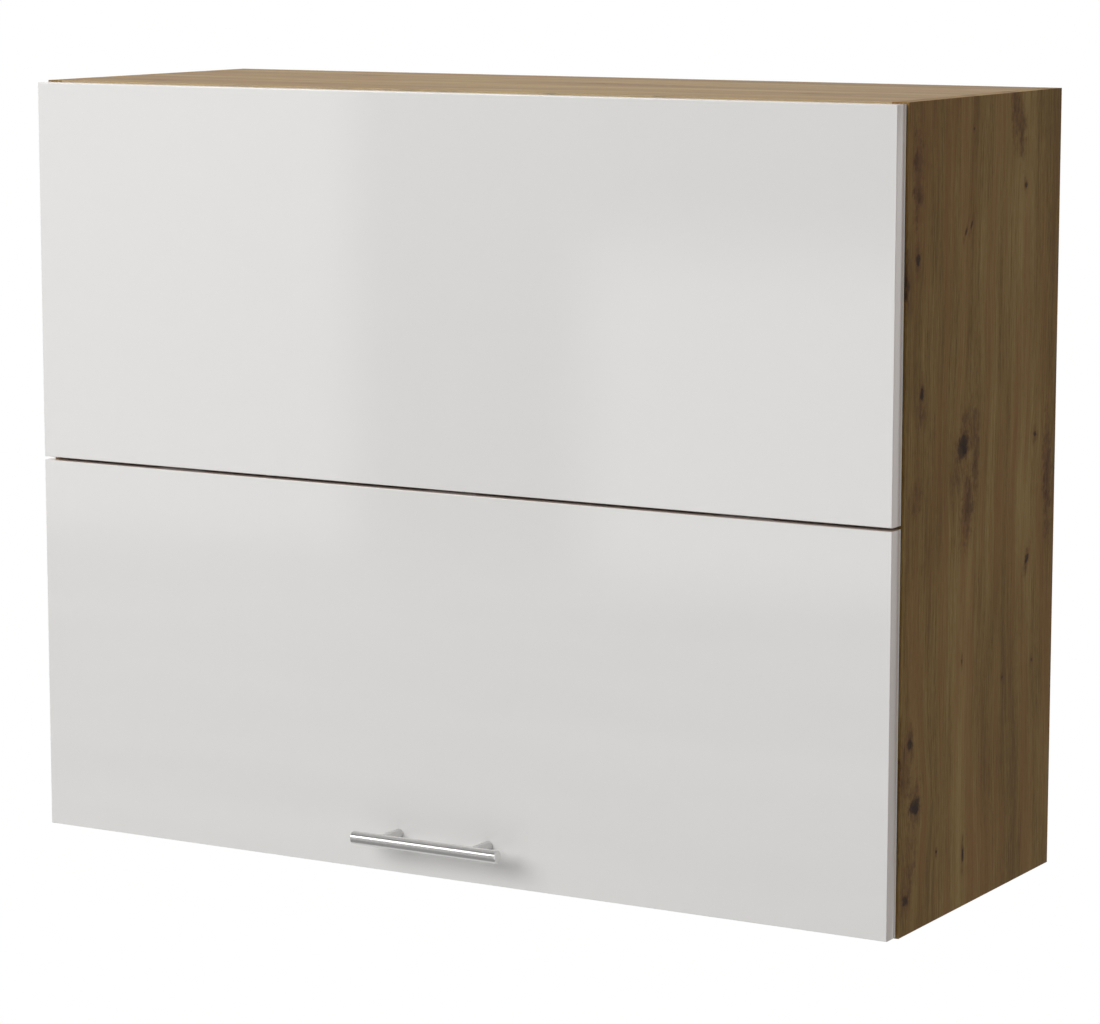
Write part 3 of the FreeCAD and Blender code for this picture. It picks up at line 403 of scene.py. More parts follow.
class Effects:
    """Shared shader effects, each made once as a node group."""

    def __init__(self) -> None:
        """Make every shared effect."""
        self.knot = self._knot()
        self.oak = self._oak(OakPattern())
        self.chipboard = self._chipboard()
        self.brushed = self._brushed()
        self.speckle = self._speckle()

    @staticmethod
    def _start(name: str, inputs: dict[str, object],
               outputs: dict[str, str]) -> tuple[Sketch, dict[str, Socket], bpy.types.Node]:
        """Open a node group.

        Args:
            name: The group's name.
            inputs: Default value of each input by name.
            outputs: Socket type of each output by name.

        Returns:
            The group's sketch, its inputs by name, and its output node.
        """
        tree = bpy.data.node_groups.new(name, "ShaderNodeTree")
        for label, value in inputs.items():
            kind = "NodeSocketVector" if isinstance(value, tuple) and len(value) == 3 else "NodeSocketFloat"
            if isinstance(value, tuple) and len(value) == 4:
                kind = "NodeSocketColor"
            socket = tree.interface.new_socket(name=label, in_out="INPUT", socket_type=kind)
            socket.default_value = value
        for label, kind in outputs.items():
            tree.interface.new_socket(name=label, in_out="OUTPUT", socket_type=kind)
        sketch = Sketch(tree)
        start = sketch.add("NodeGroupInput")
        end = sketch.add("NodeGroupOutput")
        return sketch, {socket.name: socket for socket in start.outputs if socket.name}, end

    def _knot(self) -> bpy.types.NodeTree:
        """Make one knot: its dark core, the stain round it and the bend that it puts in the grain.

        Returns:
            The node group.
        """
        sketch, given, end = self._start(
            "knot",
            {"Place": (0.0, 0.0, 0.0), "Wobble": 0.0, "Across": 0.0, "Along": 0.0, "Radius": 0.006,
             "Stretch": 1.5, "Lean": 0.0, "Core Depth": 1.0, "Stain Depth": 1.0, "Reach": 2.4},
            {"Core": "NodeSocketFloat", "Stain": "NodeSocketFloat", "Shift": "NodeSocketFloat"},
        )
        core_wobble, stain_wobble, stain_height = 1.5, 2.2, 0.5
        core_edge, stain_full = (1.2, 0.6), 0.35
        bend, bend_fall = -0.6, -0.16
        across, _, along = sketch.split(given["Place"])
        rise = sketch.less(along, given["Along"])
        side = sketch.less(across, given["Across"])
        side = sketch.less(side, sketch.product(rise, given["Lean"]))
        side_part = sketch.math("DIVIDE", side, given["Radius"])
        rise_part = sketch.math("DIVIDE", sketch.math("DIVIDE", rise, given["Stretch"]), given["Radius"])
        away = sketch.length(side_part, rise_part)
        core_away = sketch.total(away, sketch.product(given["Wobble"], core_wobble))
        core = sketch.product(sketch.ease(core_away, *core_edge), given["Core Depth"])
        tall = sketch.length(side_part, sketch.product(rise_part, stain_height))
        stain_away = sketch.total(tall, sketch.product(given["Wobble"], stain_wobble))
        stain = sketch.product(sketch.ease(stain_away, given["Reach"], stain_full), given["Stain Depth"])
        fall = sketch.math("EXPONENT", sketch.product(sketch.math("POWER", tall, 2.0), bend_fall))
        sketch.fill(end, Core=core, Stain=stain, Shift=sketch.product(side, fall, bend, given["Core Depth"]))
        return sketch.tree

    def _oak(self, pattern: OakPattern) -> bpy.types.NodeTree:
        """Make the oak decor: quiet growth lines, fine combing, red-brown veils, pores and knots' colours.

        Args:
            pattern: The decor's layers and colours.

        Returns:
            The node group.
        """
        sketch, given, end = self._start(
            "oak_grain",
            {"Place": (0.0, 0.0, 0.0), "Offset": (0.0, 0.0, 0.0), "Shift": 0.0, "Stain": 0.0, "Core": 0.0,
             "Light": srgb(167, 139, 88), "Middle": srgb(145, 116, 68), "Dark": srgb(118, 90, 51),
             "Red": srgb(145, 104, 62)},
            {"Color": "NodeSocketColor", "Roughness": "NodeSocketFloat", "Height": "NodeSocketFloat"},
        )
        across, through, along = sketch.split(given["Place"])
        bent = sketch.join(sketch.total(across, given["Shift"]), through, along)
        moved = sketch.vector("ADD", bent, given["Offset"])
        sway = sketch.product(sketch.less(pattern.sway.level(sketch, moved), 0.5), pattern.sway_reach)
        across, through, along = sketch.split(moved)
        lined = sketch.join(sketch.total(across, sway), through, along)
        toned = (pattern.bands, pattern.rings, pattern.comb, pattern.cloud, pattern.dash)
        levels = [layer.level(sketch, lined) for layer in toned]
        tone = sketch.total(*(layer.tone(sketch, level) for layer, level in zip(toned, levels)))
        _, rings, comb, cloud, dash = levels
        pores = pattern.pores.level(sketch, lined)
        mottle = pattern.mottle.level(sketch, lined)
        veil = pattern.veil.level(sketch, lined)
        light = sketch.blend(sketch.spread(tone, 0.0, pattern.full_tone), given["Middle"], given["Light"])
        colour = sketch.blend(sketch.spread(tone, 0.0, -pattern.full_tone), light, given["Dark"])
        veil_mask = sketch.product(sketch.spread(veil, *pattern.veil_span),
                                   sketch.spread(cloud, *pattern.veil_in_cloud))
        colour = sketch.blend(veil_mask, colour, given["Red"])
        fleck = sketch.product(sketch.spread(dash, *pattern.fleck_span),
                               sketch.spread(veil, *pattern.fleck_in_veil))
        colour = sketch.blend(fleck, colour, pattern.fleck_colour)
        pore = sketch.product(sketch.ease(pores, *pattern.pore_edge),
                              sketch.spread(rings, *pattern.pore_in_rings))
        colour = sketch.blend(sketch.product(pore, pattern.pore_share), colour, pattern.pore_colour)
        stain = sketch.math("MULTIPLY", given["Stain"], pattern.stain_share, clamp=True)
        colour = sketch.blend(stain, colour, pattern.stain_colour)
        grit = sketch.product(sketch.ease(mottle, *pattern.grit_edge),
                              sketch.spread(comb, *pattern.grit_in_comb))
        grit = sketch.math("MULTIPLY", sketch.product(given["Stain"], grit), pattern.grit_share, clamp=True)
        colour = sketch.blend(grit, colour, pattern.grit_colour)
        patchy = sketch.spread(mottle, *pattern.core_in_mottle)
        core = sketch.math("MULTIPLY", given["Core"], patchy, clamp=True)
        colour = sketch.blend(core, colour, pattern.core_colour)
        rough = sketch.total(sketch.spread(comb, *pattern.roughness),
                             sketch.product(pore, pattern.pore_roughness))
        relief = sketch.less(sketch.product(comb, pattern.comb_height),
                             sketch.product(pore, pattern.pore_depth))
        relief = sketch.less(relief, sketch.product(core, pattern.core_depth))
        sketch.fill(end, Color=colour, Roughness=rough, Height=relief)
        return sketch.tree

    def _chipboard(self) -> bpy.types.NodeTree:
        """Make raw chipboard, as on the boards' uncoated rear edges.

        Returns:
            The node group.
        """
        sketch, given, end = self._start(
            "chipboard", {"Place": (0.0, 0.0, 0.0)},
            {"Color": "NodeSocketColor", "Height": "NodeSocketFloat"},
        )
        flake_scale, tone_scale, dust_scale = 640.0, 3.0, 1400.0
        warp_scale, warp_reach = 900.0, 4.0 * MM
        tone_span, dust_span = (0.3, 0.7), (0.55, 0.72, 0.0, 0.7)
        gap_span, gap_share = (0.45, 0.75), 0.5
        warp = sketch.product(sketch.less(sketch.noise(given["Place"], warp_scale, 2.0), 0.5), warp_reach)
        x, y, z = sketch.split(given["Place"])
        bent = sketch.join(sketch.total(x, warp), sketch.less(y, warp), sketch.total(z, warp))
        flakes = sketch.add("ShaderNodeTexVoronoi", feature="F1")
        sketch.fill(flakes, Vector=bent, Scale=flake_scale)
        level = sketch.noise(flakes.outputs["Color"], tone_scale, 0.0)
        colour = sketch.blend(sketch.spread(level, *tone_span), srgb(164, 134, 94), srgb(210, 184, 142))
        dust = sketch.noise(given["Place"], dust_scale, 2.0)
        colour = sketch.blend(sketch.spread(dust, *dust_span), colour, srgb(120, 90, 58))
        gap = sketch.spread(flakes.outputs["Distance"], *gap_span)
        colour = sketch.blend(sketch.product(gap, gap_share), colour, srgb(104, 78, 50))
        sketch.fill(end, Color=colour, Height=sketch.less(level, gap))
        return sketch.tree

    def _brushed(self) -> bpy.types.NodeTree:
        """Make fine brushed lines that change gloss and relief.

        Returns:
            The node group.
        """
        sketch, given, end = self._start(
            "brushed_lines",
            {"Place": (0.0, 0.0, 0.0), "Run": (1.0, 1.0, 1.0), "Fineness": 9000.0, "Low": 0.2, "High": 0.35},
            {"Roughness": "NodeSocketFloat", "Height": "NodeSocketFloat"},
        )
        cloud_scale, line_share, gloss_span = 60.0, 0.7, (0.3, 0.7)
        stretched = sketch.vector("MULTIPLY", given["Place"], given["Run"])
        lines = sketch.noise(stretched, given["Fineness"], 2.0, 0.6)
        cloud = sketch.noise(given["Place"], cloud_scale, 2.0)
        mixed = sketch.total(sketch.product(lines, line_share), sketch.product(cloud, 1.0 - line_share))
        gloss = sketch.spread(mixed, *gloss_span, given["Low"], given["High"])
        sketch.fill(end, Roughness=gloss, Height=lines)
        return sketch.tree

    def _speckle(self) -> bpy.types.NodeTree:
        """Make a fine uneven surface: tone and gloss that drift a little, with a small relief.

        Returns:
            The node group.
        """
        sketch, given, end = self._start(
            "fine_unevenness",
            {"Place": (0.0, 0.0, 0.0), "Scale": 400.0, "Colour": (0.5, 0.5, 0.5, 1.0), "Drift": 0.04,
             "Low": 0.3, "High": 0.4},
            {"Color": "NodeSocketColor", "Roughness": "NodeSocketFloat", "Height": "NodeSocketFloat"},
        )
        cloud_scale, grain_share, dark_span, gloss_span = 24.0, 0.5, (0.65, 0.35), (0.35, 0.65)
        grain = sketch.noise(given["Place"], given["Scale"], 3.0)
        cloud = sketch.noise(given["Place"], cloud_scale, 2.0)
        level = sketch.total(sketch.product(grain, grain_share), sketch.product(cloud, 1.0 - grain_share))
        darker = sketch.product(sketch.spread(level, *dark_span), given["Drift"])
        keep = sketch.less(1.0, darker)
        shade = sketch.vector("MULTIPLY", given["Colour"], sketch.join(keep, keep, keep))
        gloss = sketch.spread(level, *gloss_span, given["Low"], given["High"])
        sketch.fill(end, Color=shade, Roughness=gloss, Height=grain)
        return sketch.tree


def open_material(name: str) -> tuple[bpy.types.Material, Sketch, bpy.types.Node, Socket]:
    """Start a material.

    Args:
        name: The finish's name. The CAD's own materials keep theirs, so "_look" is added.

    Returns:
        The material, its sketch, its surface shader and the place on the object in metres.
    """
    material = bpy.data.materials.new(f"{name}_look")
    material.use_nodes = True
    sketch = Sketch(material.node_tree)
    shader = material.node_tree.nodes["Principled BSDF"]
    place = sketch.add("ShaderNodeTexCoord").outputs["Object"]
    return material, sketch, shader, place


@dataclass(frozen=True)
class Knot:
    """One knot or stained patch on a board, in metres on the board's face.

    Core and stain are strengths, stretch is its height over its width, lean its slant and reach the
    stain's size over the core's.
    """

    across: float
    along: float
    radius: float
    stretch: float = 1.2
    core: float = 1.0
    stain: float = 0.8
    lean: float = 0.0
    reach: float = 2.4


@dataclass(frozen=True)
class OakFinish:
    """Oak decor on one board, with its own knots."""

    name: str
    run: GrainRun
    offset: Triple
    knots: tuple[Knot, ...] = ()
    raw_rear: bool = True
    gleam: float = 0.1
    painted_light_share: float = 0.0
    painted_light_colour: Colour = srgb(236, 216, 174)
    raw_from: float = -0.3 * MM
    wobble_scale: float = 170.0
    relief: float = 0.25 * MM
    relief_share: float = 0.5

    def make(self, effects: Effects) -> bpy.types.Material:
        """Build the material.

        Args:
            effects: The shared effects.

        Returns:
            The finished material.
        """
        material, sketch, shader, place = open_material(self.name)
        x, y, z = sketch.split(place)
        lined = sketch.join(y, x, z) if self.run is GrainRun.UPRIGHT else sketch.join(y, z, x)
        core: object = 0.0
        stain: object = 0.0
        shift: object = 0.0
        wobble = sketch.less(sketch.noise(lined, self.wobble_scale, 3.0, 0.6), 0.5)
        for knot in self.knots:
            node = sketch.group(effects.knot, Place=lined, Wobble=wobble, Across=knot.across,
                                Along=knot.along, Radius=knot.radius, Stretch=knot.stretch, Lean=knot.lean,
                                Core_Depth=knot.core, Stain_Depth=knot.stain, Reach=knot.reach)
            core = sketch.math("MAXIMUM", node.outputs["Core"], core)
            stain = sketch.math("MAXIMUM", node.outputs["Stain"], stain)
            shift = sketch.total(node.outputs["Shift"], shift)
        oak = sketch.group(effects.oak, Place=lined, Offset=self.offset, Shift=shift, Stain=stain, Core=core)
        colour = oak.outputs["Color"]
        # painted light: blending towards a pale tone stands in for the light on the lip's thin front face
        # above the front
        if self.painted_light_share > 0.0:
            colour = sketch.blend(self.painted_light_share, colour, self.painted_light_colour)
        if self.raw_rear:
            chips = sketch.group(effects.chipboard, Place=place)
            raw = sketch.math("GREATER_THAN", y, self.raw_from)
            colour = sketch.blend(raw, colour, chips.outputs["Color"])
        bump = sketch.bump(oak.outputs["Height"], self.relief_share, self.relief)
        sketch.fill(shader, Base_Color=colour, Roughness=oak.outputs["Roughness"],
                    Specular_IOR_Level=self.gleam, Normal=bump)
        return material


@dataclass(frozen=True)
class EvenFinish:
    """A coated, moulded or plated surface of one colour with fine unevenness."""

    name: str
    colour: Colour
    low_rough: float
    high_rough: float
    drift: float = 0.05
    scale: float = 400.0
    relief: float = 0.02 * MM
    relief_share: float = 0.4
    metal: float = 0.0
    through: float = 0.0

    def make(self, effects: Effects) -> bpy.types.Material:
        """Build the material.

        Args:
            effects: The shared effects.

        Returns:
            The finished material.
        """
        material, sketch, shader, place = open_material(self.name)
        even = sketch.group(effects.speckle, Place=place, Scale=self.scale, Colour=self.colour,
                            Drift=self.drift, Low=self.low_rough, High=self.high_rough)
        bump = sketch.bump(even.outputs["Height"], self.relief_share, self.relief)
        sketch.fill(shader, Base_Color=even.outputs["Color"], Roughness=even.outputs["Roughness"],
                    Metallic=self.metal, Transmission_Weight=self.through, Normal=bump)
        return material


@dataclass(frozen=True)
class GlossFinish:
    """Polished film under a clear coat with a faint long ripple, bare on its rear."""

    name: str
    colour: Colour
    rear_at: float
    bare: float = 0.1 * MM
    drift: float = 0.003
    gleam: float = 0.4
    body_rough: float = 0.3
    rough_swing: float = 0.01
    bare_rough: float = 0.25
    coat_rough: float = 0.035
    coat_index: float = 1.62
    ripple: float = 0.015 * MM
    ripple_share: float = 0.35
    ripple_scale: float = 30.0

    def shade(self, sketch: Sketch, y: Socket, colour: Socket) -> Socket:
        """Return the film's colour, which is the same at every depth y on a front."""
        return colour

    def make(self, effects: Effects) -> bpy.types.Material:
        """Build the material.

        Args:
            effects: The shared effects.

        Returns:
            The finished material.
        """
        material, sketch, shader, place = open_material(self.name)
        even = sketch.group(effects.speckle, Place=place, Scale=self.ripple_scale, Colour=self.colour,
                            Drift=self.drift, Low=self.body_rough, High=self.body_rough + self.rough_swing)
        _, y, _ = sketch.split(place)
        inner = sketch.spread(y, self.rear_at - self.bare, self.rear_at - 0.5 * self.bare)
        rough = sketch.total(even.outputs["Roughness"], sketch.product(inner, self.bare_rough))
        wave = sketch.noise(place, self.ripple_scale, 1.0)
        sketch.fill(shader, Base_Color=self.shade(sketch, y, even.outputs["Color"]), Roughness=rough,
                    Specular_IOR_Level=self.gleam, Coat_Weight=sketch.less(1.0, inner),
                    Coat_Roughness=self.coat_rough, Coat_IOR=self.coat_index,
                    Coat_Normal=sketch.bump(wave, self.ripple_share, self.ripple))
        return material


@dataclass(frozen=True)
class EdgeGlossFinish(GlossFinish):
    """The same film on the edging: as white as the front at its face, with a painted highlight line along its
    rear.
    """

    face_at: float = 0.0
    face_colour: Colour = srgb(229, 227, 225)
    rear_highlight_colour: Colour = srgb(251, 249, 246)
    face_ends: Pair = (0.55 * MM, 0.15 * MM)
    rear_highlight_starts: Pair = (2.8 * MM, 1.8 * MM)

    def shade(self, sketch: Sketch, y: Socket, colour: Socket) -> Socket:
        """Blend in the white of the face and the painted highlight line along the rear.

        Args:
            sketch: The material's sketch.
            y: The depth on the cabinet.
            colour: The edging's slightly uneven colour.

        Returns:
            The colour at that depth.
        """
        # painted highlight: a near-white line just before the rear edge stands in for light caught by the
        # rounded rear corner
        rear = sketch.spread(y, *(self.rear_at - start for start in self.rear_highlight_starts))
        colour = sketch.blend(rear, colour, self.rear_highlight_colour)
        face = sketch.spread(y, *(self.face_at + end for end in self.face_ends))
        return sketch.blend(face, colour, self.face_colour)


@dataclass(frozen=True)
class BrushedFinish:
    """Brushed metal with lines along one axis."""

    name: str
    colour: Colour
    run: BrushRun
    low_rough: float
    high_rough: float
    line_span: Pair = (0.3, 0.7)
    darkest: float = 0.88
    relief: float = 0.003 * MM
    relief_share: float = 0.35

    def make(self, effects: Effects) -> bpy.types.Material:
        """Build the material.

        Args:
            effects: The shared effects.

        Returns:
            The finished material.
        """
        material, sketch, shader, place = open_material(self.name)
        lines = sketch.group(effects.brushed, Place=place, Run=self.run.value,
                             Low=self.low_rough, High=self.high_rough)
        tone = sketch.spread(lines.outputs["Height"], *self.line_span, self.darkest, 1.0)
        shade = sketch.vector("MULTIPLY", self.colour[:3], sketch.join(tone, tone, tone))
        bump = sketch.bump(lines.outputs["Height"], self.relief_share, self.relief)
        sketch.fill(shader, Base_Color=shade, Roughness=lines.outputs["Roughness"], Metallic=1.0, Normal=bump)
        return material


RIGHT_KNOTS = (
    Knot(-0.2060, 0.4150, 0.0105, 1.25, 1.0, 0.8, 0.35),
    Knot(-0.1840, 0.4270, 0.0090, 0.9, 0.0, 0.9, 0.2, 2.0),
    Knot(-0.1790, 0.3920, 0.0060, 2.0, 0.3, 0.9, 0.1, 2.0),
    Knot(-0.1930, 0.3620, 0.0110, 1.4, 0.2, 1.0, 0.1, 1.9),
    Knot(-0.2925, 0.4700, 0.0043, 1.4),
    Knot(-0.2915, 0.4540, 0.0060, 0.9, 0.0, 0.7),
    Knot(-0.0475, 0.4087, 0.0037, 0.8),
    Knot(-0.0617, 0.2957, 0.0045, 1.0, 1.0, 0.9, 0.3),
    Knot(-0.0180, 0.3640, 0.0085, 2.8, 0.15, 1.0, -0.05, 1.7),
    Knot(-0.3010, 0.3810, 0.0100, 0.6, 0.0, 0.7, 0.0, 1.8),
    Knot(-0.3071, 0.1677, 0.0057, 1.0, 0.9, 0.9),
    Knot(-0.3170, 0.1450, 0.0120, 1.0, 0.0, 0.9, 0.0, 1.7),
    Knot(-0.2965, 0.1123, 0.0115, 0.75, 1.0, 0.8, 0.0, 2.0),
    Knot(-0.3010, 0.0800, 0.0100, 2.4, 0.0, 0.6, 0.08, 1.7),
    Knot(-0.3116, 0.0305, 0.0065, 0.8, 0.9, 0.9),
    Knot(-0.3090, 0.0450, 0.0070, 1.6, 0.0, 0.8, 0.0, 1.9),
    Knot(-0.2489, 0.0614, 0.0020, 0.8),
    Knot(-0.1926, 0.0466, 0.0019, 2.8, 0.9),
    Knot(-0.0457, 0.2000, 0.0020, 1.0, 0.7),
    Knot(-0.1119, 0.1947, 0.0022, 0.7, 0.6),
    Knot(-0.2007, 0.2235, 0.0014, 1.7, 0.6),
    Knot(-0.3062, 0.6680, 0.0085, 1.4, 0.25, 1.0, 0.0, 1.8),
    Knot(-0.3053, 0.6440, 0.0080, 1.5, 0.3, 1.0, 0.0, 1.8),
    Knot(-0.3034, 0.5863, 0.0040, 1.2),
    Knot(-0.3260, 0.5640, 0.0050, 2.0, 0.6, 0.9),
    Knot(-0.1022, 0.7130, 0.0080, 1.8, 0.1, 1.0, -0.1, 1.9),
    Knot(-0.0893, 0.6900, 0.0075, 1.5, 0.0, 0.9, -0.1, 1.9),
    Knot(-0.1942, 0.6090, 0.0018, 2.2, 0.9, 0.6, 0.5),
    Knot(-0.2060, 0.6030, 0.0019, 1.9, 0.8, 0.6, 0.5),
    Knot(-0.0771, 0.6364, 0.0032, 0.9, 0.7),
    Knot(-0.1918, 0.6919, 0.0014, 0.8, 0.8),
)
LEFT_KNOTS = (
    Knot(-0.120, 0.520, 0.0080, 1.3, 1.0, 0.9, 0.2),
    Knot(-0.240, 0.300, 0.0060, 1.8, 0.8),
    Knot(-0.060, 0.150, 0.0034, 1.3),
    Knot(-0.280, 0.630, 0.0030, 1.4),
    Knot(-0.180, 0.080, 0.0075, 1.2),
    Knot(-0.040, 0.640, 0.0040, 3.0, 0.3),
    Knot(-0.250, 0.340, 0.0080, 2.6, 0.0, 0.9, 0.1),
    Knot(-0.300, 0.210, 0.0045, 1.5, 0.9),
    Knot(-0.090, 0.370, 0.0016, 1.2, 0.8),
)
TOP_KNOTS = (
    Knot(-0.1300, 0.0450, 0.0060, 5.0, 0.2, 0.9),
    Knot(-0.0750, -0.2500, 0.0055, 2.4, 0.5),
    Knot(-0.2200, 0.3100, 0.0050, 3.0, 0.3),
    Knot(-0.2700, -0.3600, 0.0040, 2.0, 0.6),
)
LIP_KNOTS = (
    Knot(-0.3250, 0.1030, 0.0032, 1.6, 0.9, 0.9),
    Knot(-0.3250, -0.0450, 0.0030, 3.0, 0.4, 0.9),
    Knot(-0.3250, -0.1150, 0.0030, 4.0, 0.3, 0.9),
    Knot(-0.3250, -0.0100, 0.0024, 2.5, 0.3, 1.0),
    Knot(-0.3250, 0.2120, 0.0026, 3.0, 0.4, 0.9),
    Knot(-0.3250, -0.2300, 0.0026, 3.4, 0.3, 0.9),
)
INNER_KNOTS = (
    Knot(-0.210, -0.240, 0.0070, 1.5),
    Knot(-0.120, 0.170, 0.0045, 2.4, 0.8),
    Knot(-0.270, 0.330, 0.0036, 1.5),
)


class Finishes:
    """Every material of the cabinet, by name."""

    def __init__(self, effects: Effects) -> None:
        """Build all the materials.

        Args:
            effects: The shared effects.
        """
        self._make_oak(effects)
        self._make_gloss(effects)
        self._make_metal(effects)
        self._make_others(effects)

    def _make_oak(self, effects: Effects) -> None:
        """Make the oak of each board. An offset moves the grain, so that no two boards look the same.

        Args:
            effects: The shared effects.
        """
        upright, level = GrainRun.UPRIGHT, GrainRun.LEVEL
        top = (3.1, 1.2, 0.6)
        self.oak_right = OakFinish("oak_right", upright, (0.0, 0.0, 0.0), RIGHT_KNOTS,
                                   gleam=0.05).make(effects)
        self.oak_left = OakFinish("oak_left", upright, (1.7, 0.4, 2.1), LEFT_KNOTS).make(effects)
        self.oak_top = OakFinish("oak_top", level, top, TOP_KNOTS, gleam=0.25).make(effects)
        # the lip's pale blend is painted light on its front face, not a paler wood
        self.oak_lip_painted_light = OakFinish("oak_lip_painted_light", level, top, LIP_KNOTS, gleam=0.2, painted_light_share=0.37).make(effects)
        self.oak_bottom = OakFinish("oak_bottom", level, (5.3, 2.6, 1.9), INNER_KNOTS).make(effects)
        self.oak_shelf = OakFinish("oak_shelf", level, (7.9, 0.3, 4.4), INNER_KNOTS,
                                   raw_rear=False).make(effects)

    def _make_gloss(self, effects: Effects) -> None:
        """Make the glossy film of the fronts and of their edging.

        Args:
            effects: The shared effects.
        """
        (_, face_at, _), (_, rear_at, _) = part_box("upper_front")
        white = srgb(229, 227, 225)
        self.gloss = GlossFinish("gloss_white", white, rear_at).make(effects)
        # the edging's warm pinkish tint is partly the film's own off-white and partly a painted reflection of
        # warm surroundings
        self.band = EdgeGlossFinish("gloss_edge", srgb(234, 220, 211), rear_at, bare=3.2 * MM,
                                    body_rough=0.35, coat_rough=0.10, coat_index=1.75, ripple=0.0,
                                    face_at=face_at, face_colour=white).make(effects)

    def _make_metal(self, effects: Effects) -> None:
        """Make the metals.

        Args:
            effects: The shared effects.
        """
        self.plated_steel = EvenFinish("plated_steel", srgb(186, 187, 188), 0.28, 0.40, drift=0.08,
                                       scale=500.0, relief=0.01 * MM, metal=1.0).make(effects)
        self.cast_zinc = EvenFinish("cast_zinc", srgb(170, 171, 173), 0.30, 0.42, drift=0.10,
                                    scale=700.0, relief=0.03 * MM, metal=1.0).make(effects)
        self.screw_steel = EvenFinish("screw_steel", srgb(196, 197, 198), 0.20, 0.34, drift=0.10,
                                      scale=900.0, relief=0.01 * MM, metal=1.0).make(effects)
        self.spring_steel = EvenFinish("spring_steel", srgb(92, 94, 98), 0.30, 0.45, drift=0.15,
                                       scale=300.0, relief=0.02 * MM, metal=1.0).make(effects)
        self.satin_bar = BrushedFinish("satin_steel", srgb(222, 221, 219), BrushRun.ALONG_X,
                                       0.18, 0.27).make(effects)
        self.satin_post = BrushedFinish("satin_post", srgb(206, 205, 204), BrushRun.ALONG_Y,
                                        0.24, 0.36).make(effects)

    def _make_others(self, effects: Effects) -> None:
        """Make the coated, moulded and turned finishes.

        Args:
            effects: The shared effects.
        """
        self.white_back = EvenFinish("white_back", srgb(224, 222, 217), 0.50, 0.60, drift=0.03,
                                     scale=260.0, relief=0.05 * MM).make(effects)
        self.grey_plastic = EvenFinish("grey_plastic", srgb(178, 180, 182), 0.42, 0.55, drift=0.04,
                                       scale=1500.0, relief=0.03 * MM).make(effects)
        self.silicone = EvenFinish("silicone", srgb(232, 232, 228), 0.20, 0.30, drift=0.02,
                                   scale=300.0, relief=0.01 * MM, through=0.6).make(effects)
        self.beech = EvenFinish("beech", srgb(206, 172, 128), 0.55, 0.70, drift=0.20,
                                scale=300.0, relief=0.06 * MM).make(effects)


def add_piece(name: str, mesh: bpy.types.Mesh, material: bpy.types.Material, body: str) -> bpy.types.Object:
    """Put a new mesh piece in the scene on its CAD body.

    Args:
        name: The piece's name.
        mesh: Its mesh, in metres in the cabinet's frame.
        material: Its finish.
        body: The body it rides on.

    Returns:
        The new piece.
    """
    mesh.materials.append(material)
    piece = bpy.data.objects.new(name, mesh)
    bpy.context.scene.collection.objects.link(piece)
    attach(piece, body)
    LOG.info("made %s", name)
    return piece


@dataclass
class Assembly:
    """What each sub-assembly holds: the loaded frame and the finishes."""

    frame: dict
    finishes: Finishes

    def dress(self, node: str, material: bpy.types.Material, soften: float = 0.0) -> None:
        """Give a CAD node its material and softly broken edges.

        Args:
            node: The node's name.
            material: Its new material.
            soften: Edge radius in metres, or 0 for none.
        """
        piece = self.frame["nodes"][node]
        for slot in piece.material_slots:
            slot.material = material
        if soften > 0.0:
            weld = piece.modifiers.new("weld", "WELD")
            weld.merge_threshold = WELD_GAP
            bevel = piece.modifiers.new("soft_edges", "BEVEL")
            bevel.width = soften
            bevel.segments = BEVEL_STEPS
            bevel.limit_method = "ANGLE"
            bevel.angle_limit = BEVEL_FROM
            bevel.use_clamp_overlap = True
            bevel.harden_normals = True
        LOG.info("dressed %s", node)


@dataclass
class Carcass(Assembly):
    """The oak box: sides, top, bottom, shelf, edging, back and corner fittings."""

    def build(self) -> None:
        """Dress every board and fitting of the box."""
        finishes = self.finishes
        looks = {
            "side_panel_right": finishes.oak_right, "edging_right": finishes.oak_right,
            "side_panel_left": finishes.oak_left, "edging_left": finishes.oak_left,
            "top_panel": finishes.oak_top, "edging_top": finishes.oak_lip_painted_light,
            "bottom_panel": finishes.oak_bottom, "edging_bottom": finishes.oak_bottom,
            "shelf": finishes.oak_shelf, "edging_shelf": finishes.oak_shelf,
            "back_panel": finishes.white_back, "cams": finishes.cast_zinc, "cam_bolts": finishes.screw_steel,
            "dowels": finishes.beech, "shelf_pegs": finishes.screw_steel,
            "fitting_screws": finishes.screw_steel,
        }
        for node, material in looks.items():
            self.dress(node, material)


@dataclass
class WallHanging(Assembly):
    """Hangers, hooks and wall plates in the upper rear corners."""

    hanger_edge: float = 0.4 * MM
    steel_edge: float = 0.3 * MM

    def build(self) -> None:
        """Dress the hanging parts."""
        for side in SIDES:
            self.dress(f"hanger_{side}", self.finishes.grey_plastic, self.hanger_edge)
            self.dress(f"hanger_hook_{side}", self.finishes.plated_steel, self.steel_edge)
            self.dress(f"wall_plate_{side}", self.finishes.plated_steel, self.steel_edge)


@dataclass
class Hinges(Assembly):
    """Top hinges and the fold hinges between the two fronts."""

    arm_edge: float = 0.3 * MM

    def build(self) -> None:
        """Dress the hinge parts."""
        for side in SIDES:
            self.dress(f"hinge_arm_{side}", self.finishes.cast_zinc, self.arm_edge)
            self.dress(f"hinge_cup_{side}", self.finishes.cast_zinc)
        for place in FOLD_PLACES:
            self.dress(f"fold_leaf_upper_{place}", self.finishes.plated_steel)
            self.dress(f"fold_leaf_lower_{place}", self.finishes.plated_steel)
        for node in ("hinge_pins", "fold_pins", "upper_front_screws", "lower_front_screws"):
            self.dress(node, self.finishes.screw_steel)


